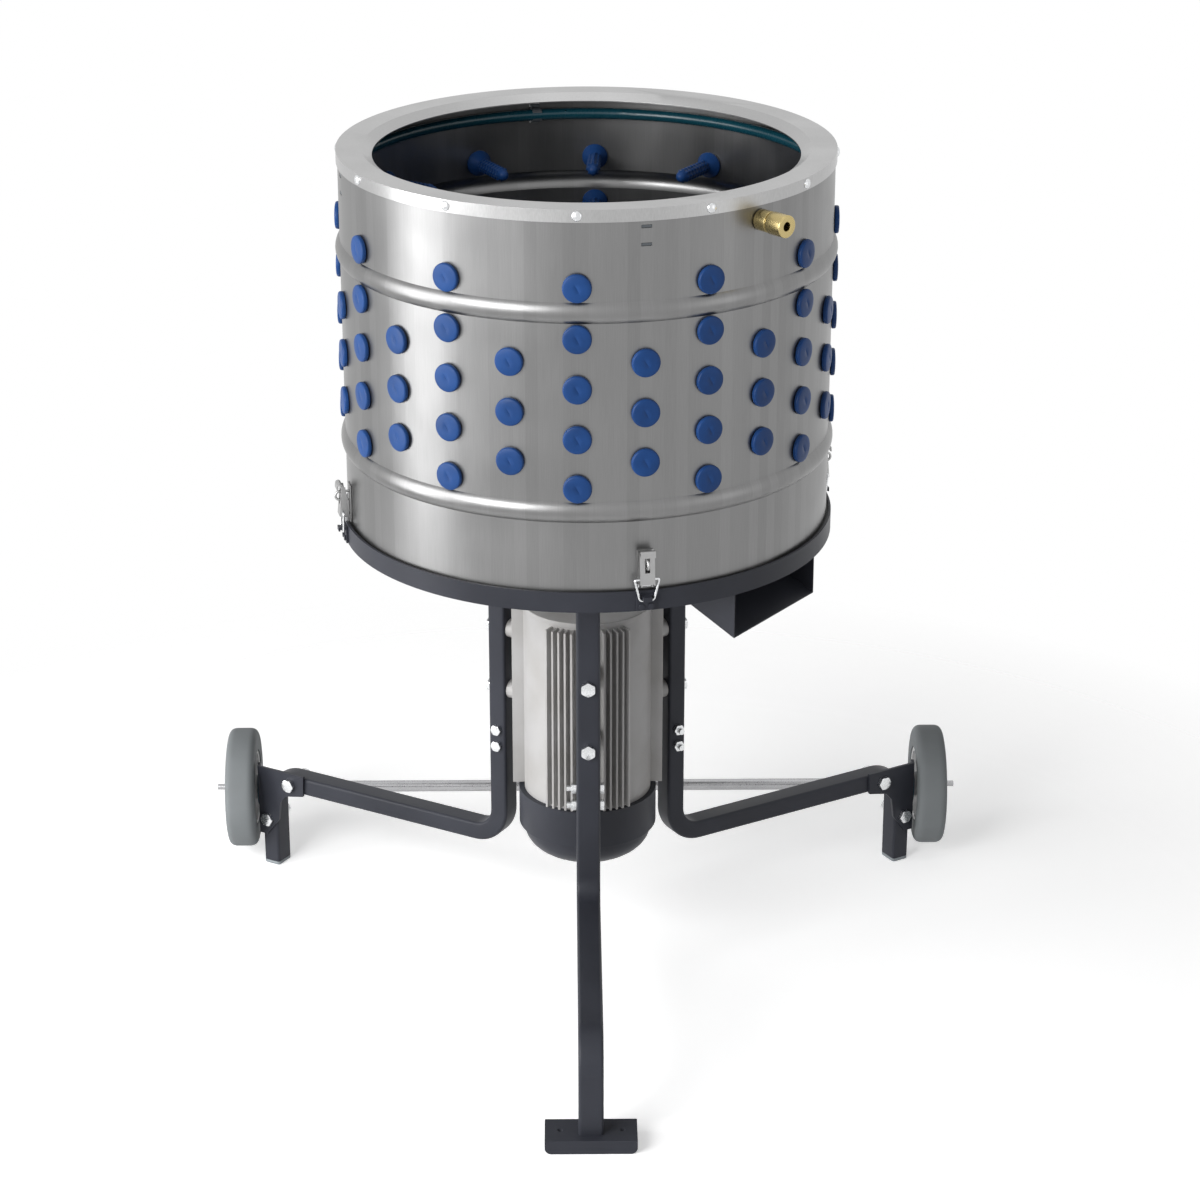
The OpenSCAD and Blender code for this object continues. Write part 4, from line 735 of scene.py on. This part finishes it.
def build_cross_bolts():
    """The bolts across the legs and their nuts."""
    place, heights = 0.128, (0.2888, 0.2657)
    bolt = across(bolt_patch(*M8, shank_length=2 * LEG_HALF + 0.0125))
    nut = across(nut_patch(flats=0.013, height=0.0064, bore_r=0.00405), flip=True)
    bolts, nuts = Pile(), Pile()
    for z in heights:
        bolts.copies(bolt, LEG_AZIMUTHS, (place, LEG_HALF, z))
        nuts.copies(nut, LEG_AZIMUTHS, (place, -LEG_HALF, z))
    bolts.make("cross_bolts", "bright_zinc", 25)
    nuts.make("cross_nuts", "bright_zinc", 25)


def build_bracket_bolts():
    """The bolts of the wheel brackets, with their heads in front of the rear legs and their nuts behind."""
    bracket_wall, beyond_nut = 0.004, 0.012
    seat = LEG_HALF + bracket_wall
    bolt = bolt_patch(*M10, shank_length=seat + LEG_HALF + beyond_nut)
    nut = nut_patch(flats=0.017, height=0.008, bore_r=0.00505)
    pile = Pile()
    for radius, z in ((0.462, 0.1315), (0.4995, 0.0715)):
        for azimuth, front in ((LEG_AZIMUTHS[1], -1), (LEG_AZIMUTHS[2], 1)):
            pile.copies(across(bolt, flip=front < 0), [azimuth], (radius, front * seat, z))
            pile.copies(across(nut, flip=front > 0), [azimuth], (radius, -front * LEG_HALF, z))
    pile.make("bracket_bolts", "bright_zinc", 25)


def build_bolts():
    """All the bolts with a hexagon head, and their nuts."""
    build_motor_bolts()
    build_cross_bolts()
    build_bracket_bolts()


# Rim screws, spray line and tyres

def build_rim_screws():
    """The domed screws of the rim and their nuts inside the shell, in line with the long columns.

    A dome's outline is a quarter of an ellipse: x rises with the sine of a, and the radius falls with its
    cosine.
    """
    dome_r, shank_r, nut_seat, below_top = 0.006, 0.0025, 0.2982, 0.0075
    a = np.radians(np.arange(90, -1, -10))
    rise = bpy.context.scene.plucker_sizes.screw_dome
    dome = np.stack([SKIRT_R + rise * np.sin(a), dome_r * np.cos(a)], axis=-1)
    shank = [(SKIRT_R, shank_r), (0.2931, shank_r), (0.2926, 0.0020), (0.2926, 0.0)]
    screw = lathe(np.concatenate([dome, shank]), 28)
    nut = about_face(nut_patch(flats=0.008, height=0.004, bore_r=0.00255))
    azimuths = [FIRST_COLUMN + COLUMN_STEP * i for i in range(COLUMNS)]
    pile = Pile()
    pile.copies(screw, azimuths, (0, 0, RIM_TOP - below_top))
    pile.copies(nut, azimuths, (nut_seat, 0, RIM_TOP - below_top))
    pile.make("rim_screws", "bright_zinc", 40)


def build_spray_line():
    """The turned brass inlet with its lock nut, and the hose with smooth sides.

    The inlet is a closed loop of (x, radius) carried round the radial direction, from its chamfered end over
    a groove and the collar to its thread and tail, and back through the bore.
    """
    corners = [(0.344, 0.0062), (0.344, 0.01325), (0.3208, 0.01325), (0.3208, 0.0112), (0.3183, 0.0112),
               (0.3183, 0.0125), (0.3013, 0.0125), (0.3013, 0.010), (0.2953, 0.010), (0.2953, 0.0042),
               (0.2920, 0.0042), (0.2920, 0.0030), (0.3005, 0.0030), (0.3005, 0.00525), (0.3432, 0.00525)]
    bends = [0.0003, 0.0014, 0.0006, 0.0003, 0.0003, 0.0006, 0.0005, 0, 0, 0, 0, 0, 0, 0, 0.0003]
    nut_seat = 0.2976
    nut = about_face(nut_patch(flats=0.026, height=0.0023, bore_r=0.01005))
    pile = Pile()
    pile.copies(ring_lathe(rounded_loop(corners, bends), 48), [INLET_AZIMUTH], (0, 0, HOSE_Z))
    pile.copies(nut, [INLET_AZIMUTH], (nut_seat, 0, HOSE_Z))
    pile.make("water_inlet", "inlet_brass", 35)
    soften("spray_hose", 0.0001)


def build_tyres():
    """The tyres: a closed loop of (x, radius) with rounded shoulders, carried round the axle."""
    seat, bead = 0.052, 0.0012
    shoulder = bpy.context.scene.plucker_sizes.tyre_shoulder
    for side in ("right", "left"):
        node = "tyre_" + side
        low, high = height_range(node)
        half, outer = reach(node), (high - low) / 2
        corners = [(half, seat), (half, outer), (-half, outer), (-half, seat)]
        loop = rounded_loop(corners, [bead, shoulder, shoulder, bead], steps=9)
        points, quads, tris = ring_lathe(loop, 144)
        pile = Pile()
        pile.add(points + middle(node), quads, tris)
        pile.make(node, "tyre_grey", 40, body="wheel_" + side)


# Latches

def build_bails():
    """The wire bails: one rounded wire each, from ear to ear under the keeper's tongue.

    The wire's path is a line of five pieces with rounded corners, and the wire is a circle carried along it.
    """
    ear_r, ear_z, bar_z, wire_r = 0.311, 0.642, 0.6155, 0.00145
    corners = [(0.0072, ear_z), (0.015, ear_z), (0.0085, bar_z),
               (-0.0085, bar_z), (-0.015, ear_z), (-0.0072, ear_z)]
    line = rounded_loop(corners, [0, 0.0025, 0.004, 0.004, 0.0025, 0], steps=6)
    wire = tube(np.column_stack([np.zeros(len(line)), line]), wire_r, 14)
    for k, azimuth in enumerate(LATCH_AZIMUTHS, 1):
        pile = Pile()
        pile.copies(wire, [azimuth], (ear_r, 0, 0))
        pile.make("latch_bail_%d" % k, "bright_zinc", 60, body="bail_%d" % k, name="bail_%d_wire" % k)


# Pressed and cast pieces whose edges are broken

SOFT_ANGLE = math.radians(35)


def soften(node, width, slot=None):
    """A merged copy of a CAD piece with its sharp edges rounded to a width in metres.

    Its slot is the record's, unless another one is given.
    """
    slot = slot or SLOTS[node]
    source = frame["nodes"][node]
    mesh = source.data.copy()
    obj = bpy.data.objects.new(node + "_soft", mesh)
    bpy.context.scene.collection.objects.link(obj)
    shape = bmesh.new()
    shape.from_mesh(mesh)
    bmesh.ops.remove_doubles(shape, verts=shape.verts, dist=1e-6)
    bmesh.ops.dissolve_limit(shape, angle_limit=math.radians(0.8), verts=shape.verts, edges=shape.edges)
    shape.to_mesh(mesh)
    shape.free()
    mesh.polygons.foreach_set("use_smooth", np.full(len(mesh.polygons), True))
    mesh.set_sharp_from_angle(angle=SOFT_ANGLE)
    edge = obj.modifiers.new("broken edges", "BEVEL")
    edge.width = width
    edge.segments = 2
    edge.limit_method = "ANGLE"
    edge.angle_limit = SOFT_ANGLE
    edge.harden_normals = True
    mesh.materials.clear()
    mesh.materials.append(finishes()[slot])
    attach(obj, source["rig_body"])
    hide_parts(node)


def build_pressed_pieces():
    """Latches, keepers, brackets, foot plate, legs, chute, rings, plate bolts and shaft cap, edges broken.

    The keepers' screws are dark in the photo, so they take another slot than the record's.
    """
    for k in range(1, 5):
        soften("latch_lever_%d" % k, 0.00035)
    soften("keeper_screws", 0.0005, slot="powder_coat")
    for node, width in (("latch_bases", 0.0003), ("latch_pins", 0.0002), ("keepers", 0.0004),
                        ("bracket_right", 0.0008), ("bracket_left", 0.0008),
                        ("foot_plate", 0.0008), ("leg_front", 0.0004), ("leg_right", 0.0004),
                        ("leg_left", 0.0004), ("leg_caps", 0.0012), ("feather_chute", 0.0004),
                        ("base_ring", 0.0007), ("rim_ring", 0.0005), ("plate_bolts", 0.0006),
                        ("shaft_cap", 0.002)):
        soften(node, width)


def build_motor():
    """Motor housing, shields, fan cover and terminal box with cast edges."""
    for node, width in (("motor_housing", 0.0006), ("upper_shield", 0.0012), ("lower_shield", 0.0008),
                        ("fan_cover", 0.0004), ("terminal_box", 0.0015)):
        soften(node, width)


def build_wheels():
    """Tyres with rounded shoulders, and hubs, washers, caps and axle with broken edges."""
    build_tyres()
    for node, width in (("hub_right", 0.0008), ("hub_left", 0.0008), ("wheel_washers", 0.0006),
                        ("axle_caps", 0.0006), ("axle", 0.0005)):
        soften(node, width)


# Stage: floor, light and camera

# The camera's place in metres, how far it looks down and to the right in degrees, and its lens in mm
CAMERA_AT = (-0.02622, -3.6844, 2.0273)
CAMERA_DOWN = 22.187
CAMERA_TURN = 0.6465
CAMERA_LENS = 95.68
# Each light: its name, its place, what it faces, its width and height in metres, and its power in watts
LIGHTS = (("key", (-2.3, -2.6, 2.0), (0, 0, 0.6), (2.0, 2.2), 128),
          ("left strip", (-2.9, -0.6, 0.9), (0, 0.05, 0.5), (1.3, 2.6), 62),
          ("right fill", (2.8, -1.6, 1.2), (0, 0, 0.6), (1.4, 2.0), 6),
          ("overhead", (0.1, 0.3, 3.6), (0, 0.08, 0.8), (2.0, 2.0), 6))
# The strength of the grey studio, and how much whiter than lit the floor is to the camera and to metal
STUDIO_STRENGTH = 0.37
FLOOR_LIFT = 0.45
# The floor is whole up to the first distance from the origin, and gone from the second one on
FLOOR_FADE = (0.7, 1.35)
FLOOR_HALF = 14.0


def seen_rays(tree):
    """The light path, and a value that is 1 for the rays of the camera and of reflections."""
    path = tree.nodes.new("ShaderNodeLightPath")
    shown = calculate(tree, "MAXIMUM")
    link(tree, path, "Is Camera Ray", shown, 0)
    link(tree, path, "Is Glossy Ray", shown, 1)
    return path, shown


def build_world():
    """White for the camera and in reflections, and a soft grey studio with a darker top as light."""
    world = bpy.data.worlds.new("studio")
    bpy.context.scene.world = world
    world.use_nodes = True
    tree = world.node_tree
    tree.nodes.clear()
    out = tree.nodes.new("ShaderNodeOutputWorld")
    seen = tree.nodes.new("ShaderNodeBackground")
    seen.inputs["Color"].default_value = (1, 1, 1, 1)
    seen.inputs["Strength"].default_value = 1.0
    around = tree.nodes.new("ShaderNodeBackground")
    around.inputs["Strength"].default_value = STUDIO_STRENGTH
    coords = tree.nodes.new("ShaderNodeTexCoord")
    parts = tree.nodes.new("ShaderNodeSeparateXYZ")
    link(tree, coords, "Generated", parts, "Vector")
    ramp = tree.nodes.new("ShaderNodeValToRGB")
    ramp.color_ramp.elements[0].position = 0.0
    ramp.color_ramp.elements[0].color = (0.95, 0.95, 0.96, 1)
    ramp.color_ramp.elements[1].position = 0.8
    ramp.color_ramp.elements[1].color = (0.3, 0.3, 0.3, 1)
    link(tree, parts, "Z", ramp, "Fac")
    link(tree, ramp, "Color", around, "Color")
    path, shown = seen_rays(tree)
    through = calculate(tree, "MAXIMUM")
    link(tree, shown, "Value", through, 0)
    link(tree, path, "Is Transmission Ray", through, 1)
    mix = tree.nodes.new("ShaderNodeMixShader")
    link(tree, through, "Value", mix, 0)
    link(tree, around, "Background", mix, 1)
    link(tree, seen, "Background", mix, 2)
    link(tree, mix, "Shader", out, "Surface")


def panel_light(name, place, target, size, power):
    """A soft rectangular light that faces a target."""
    data = bpy.data.lights.new(name, "AREA")
    data.shape = "RECTANGLE"
    data.size, data.size_y = size
    data.energy = power
    obj = bpy.data.objects.new(name, data)
    bpy.context.scene.collection.objects.link(obj)
    obj.location = place
    aim = np.array(target) - np.array(place)
    aim = aim / np.linalg.norm(aim)
    obj.rotation_euler = (math.acos(-aim[2]), 0, math.atan2(-aim[0], aim[1]))
    return obj


def build_floor():
    """The floor, which carries the shadow and fades into the white world away from the plucker."""
    side = FLOOR_HALF
    mesh = bpy.data.meshes.new("floor")
    mesh.from_pydata([(-side, -side, 0), (side, -side, 0), (side, side, 0), (-side, side, 0)],
                     [], [(0, 1, 2, 3)])
    floor = bpy.data.objects.new("floor", mesh)
    bpy.context.scene.collection.objects.link(floor)
    mat, tree, shader, coords = new_finish("pale floor", (0.93, 0.93, 0.93), 0.0, 0.8)
    distance = tree.nodes.new("ShaderNodeVectorMath")
    distance.operation = "LENGTH"
    link(tree, coords, "Object", distance, 0)
    link(tree, span(tree, distance, "Value", *FLOOR_FADE, 1.0, 0.0), "Result", shader, "Alpha")
    # The camera and metal see the lit floor as white, while the floor gives no light to the plucker
    lift = calculate(tree, "MULTIPLY", FLOOR_LIFT)
    link(tree, seen_rays(tree)[1], "Value", lift, 0)
    shader.inputs["Emission Color"].default_value = (1, 1, 1, 1)
    link(tree, lift, "Value", shader, "Emission Strength")
    mesh.materials.append(mat)
    return floor


def build_stage():
    """Floor, lights, world and the camera at the photo's angle."""
    floor = build_floor()
    lights = [panel_light(*light) for light in LIGHTS]
    data = bpy.data.cameras.new("photo view")
    data.lens = CAMERA_LENS
    data.sensor_width = 36.0
    camera = bpy.data.objects.new("photo view", data)
    bpy.context.scene.collection.objects.link(camera)
    camera.location = CAMERA_AT
    camera.rotation_euler = (math.radians(90 - CAMERA_DOWN), 0, math.radians(-CAMERA_TURN))
    bpy.context.scene.camera = camera
    build_world()
    bpy.context.scene.view_settings.view_transform = "Standard"


# Operators, panel and registration

class PLUCKER_OT_finishes(bpy.types.Operator):
    """Make the finishes and put them on the CAD pieces"""

    bl_idname = "plucker.finishes"
    bl_label = "Finishes"

    def execute(self, context):
        finishes()
        return {"FINISHED"}


class PLUCKER_OT_drum_fingers(bpy.types.Operator):
    """Build the fingers of the drum's wall"""

    bl_idname = "plucker.drum_fingers"
    bl_label = "Drum fingers"

    def execute(self, context):
        build_drum_fingers()
        return {"FINISHED"}


class PLUCKER_OT_plate_fingers(bpy.types.Operator):
    """Build the fingers of the turning plate"""

    bl_idname = "plucker.plate_fingers"
    bl_label = "Plate fingers"

    def execute(self, context):
        build_plate_fingers()
        return {"FINISHED"}


class PLUCKER_OT_bolts(bpy.types.Operator):
    """Build the motor bolts, the cross bolts and their nuts"""

    bl_idname = "plucker.bolts"
    bl_label = "Bolts and nuts"

    def execute(self, context):
        build_bolts()
        return {"FINISHED"}


class PLUCKER_OT_rim_screws(bpy.types.Operator):
    """Build the domed screws of the rim and their nuts"""

    bl_idname = "plucker.rim_screws"
    bl_label = "Rim screws"

    def execute(self, context):
        build_rim_screws()
        return {"FINISHED"}


class PLUCKER_OT_spray_line(bpy.types.Operator):
    """Build the water inlet and smooth the spray hose"""

    bl_idname = "plucker.spray_line"
    bl_label = "Spray line"

    def execute(self, context):
        build_spray_line()
        return {"FINISHED"}


class PLUCKER_OT_bails(bpy.types.Operator):
    """Build the wire bails of the latches"""

    bl_idname = "plucker.bails"
    bl_label = "Latch bails"

    def execute(self, context):
        build_bails()
        return {"FINISHED"}


class PLUCKER_OT_pressed(bpy.types.Operator):
    """Round the edges of the pressed sheet pieces"""

    bl_idname = "plucker.pressed"
    bl_label = "Pressed pieces"

    def execute(self, context):
        build_pressed_pieces()
        return {"FINISHED"}


class PLUCKER_OT_motor(bpy.types.Operator):
    """Round the edges of the motor's castings"""

    bl_idname = "plucker.motor"
    bl_label = "Motor"

    def execute(self, context):
        build_motor()
        return {"FINISHED"}


class PLUCKER_OT_wheels(bpy.types.Operator):
    """Build the tyres and round the edges of the hubs, washers and axle"""

    bl_idname = "plucker.wheels"
    bl_label = "Wheels"

    def execute(self, context):
        build_wheels()
        return {"FINISHED"}


class PLUCKER_OT_stage(bpy.types.Operator):
    """Build the floor, the lights, the world and the camera"""

    bl_idname = "plucker.stage"
    bl_label = "Stage"

    def execute(self, context):
        build_stage()
        return {"FINISHED"}


OPERATORS = (PLUCKER_OT_finishes, PLUCKER_OT_drum_fingers, PLUCKER_OT_plate_fingers, PLUCKER_OT_bolts,
             PLUCKER_OT_rim_screws, PLUCKER_OT_spray_line, PLUCKER_OT_bails, PLUCKER_OT_pressed,
             PLUCKER_OT_motor, PLUCKER_OT_wheels, PLUCKER_OT_stage)


class PLUCKER_PT_panel(bpy.types.Panel):
    """Lists the plucker's sizes, colours and operators"""

    bl_idname = "PLUCKER_PT_panel"
    bl_label = "Poultry plucker"
    bl_space_type = "VIEW_3D"
    bl_region_type = "UI"
    bl_category = "Plucker"

    def draw(self, context):
        layout = self.layout
        for group in (context.scene.plucker_sizes, context.scene.plucker_colours):
            for name in group.__annotations__:
                layout.prop(group, name)
        for operator in OPERATORS:
            layout.operator(operator.bl_idname)


CLASSES = (PluckerSizes, FinishColours, *OPERATORS, PLUCKER_PT_panel)


def register():
    """Registers the classes and hangs the properties on the scene."""
    for cls in CLASSES:
        bpy.utils.register_class(cls)
    bpy.types.Scene.plucker_sizes = bpy.props.PointerProperty(type=PluckerSizes)
    bpy.types.Scene.plucker_colours = bpy.props.PointerProperty(type=FinishColours)


def unregister():
    """Takes the properties and the classes away again."""
    del bpy.types.Scene.plucker_sizes
    del bpy.types.Scene.plucker_colours
    for cls in reversed(CLASSES):
        bpy.utils.unregister_class(cls)


def main():
    """Builds every piece."""
    register()
    bpy.ops.plucker.finishes()
    bpy.ops.plucker.drum_fingers()
    bpy.ops.plucker.plate_fingers()
    bpy.ops.plucker.bolts()
    bpy.ops.plucker.rim_screws()
    bpy.ops.plucker.spray_line()
    bpy.ops.plucker.bails()
    bpy.ops.plucker.pressed()
    bpy.ops.plucker.motor()
    bpy.ops.plucker.wheels()
    bpy.ops.plucker.stage()


if __name__ == "__main__":
    main()
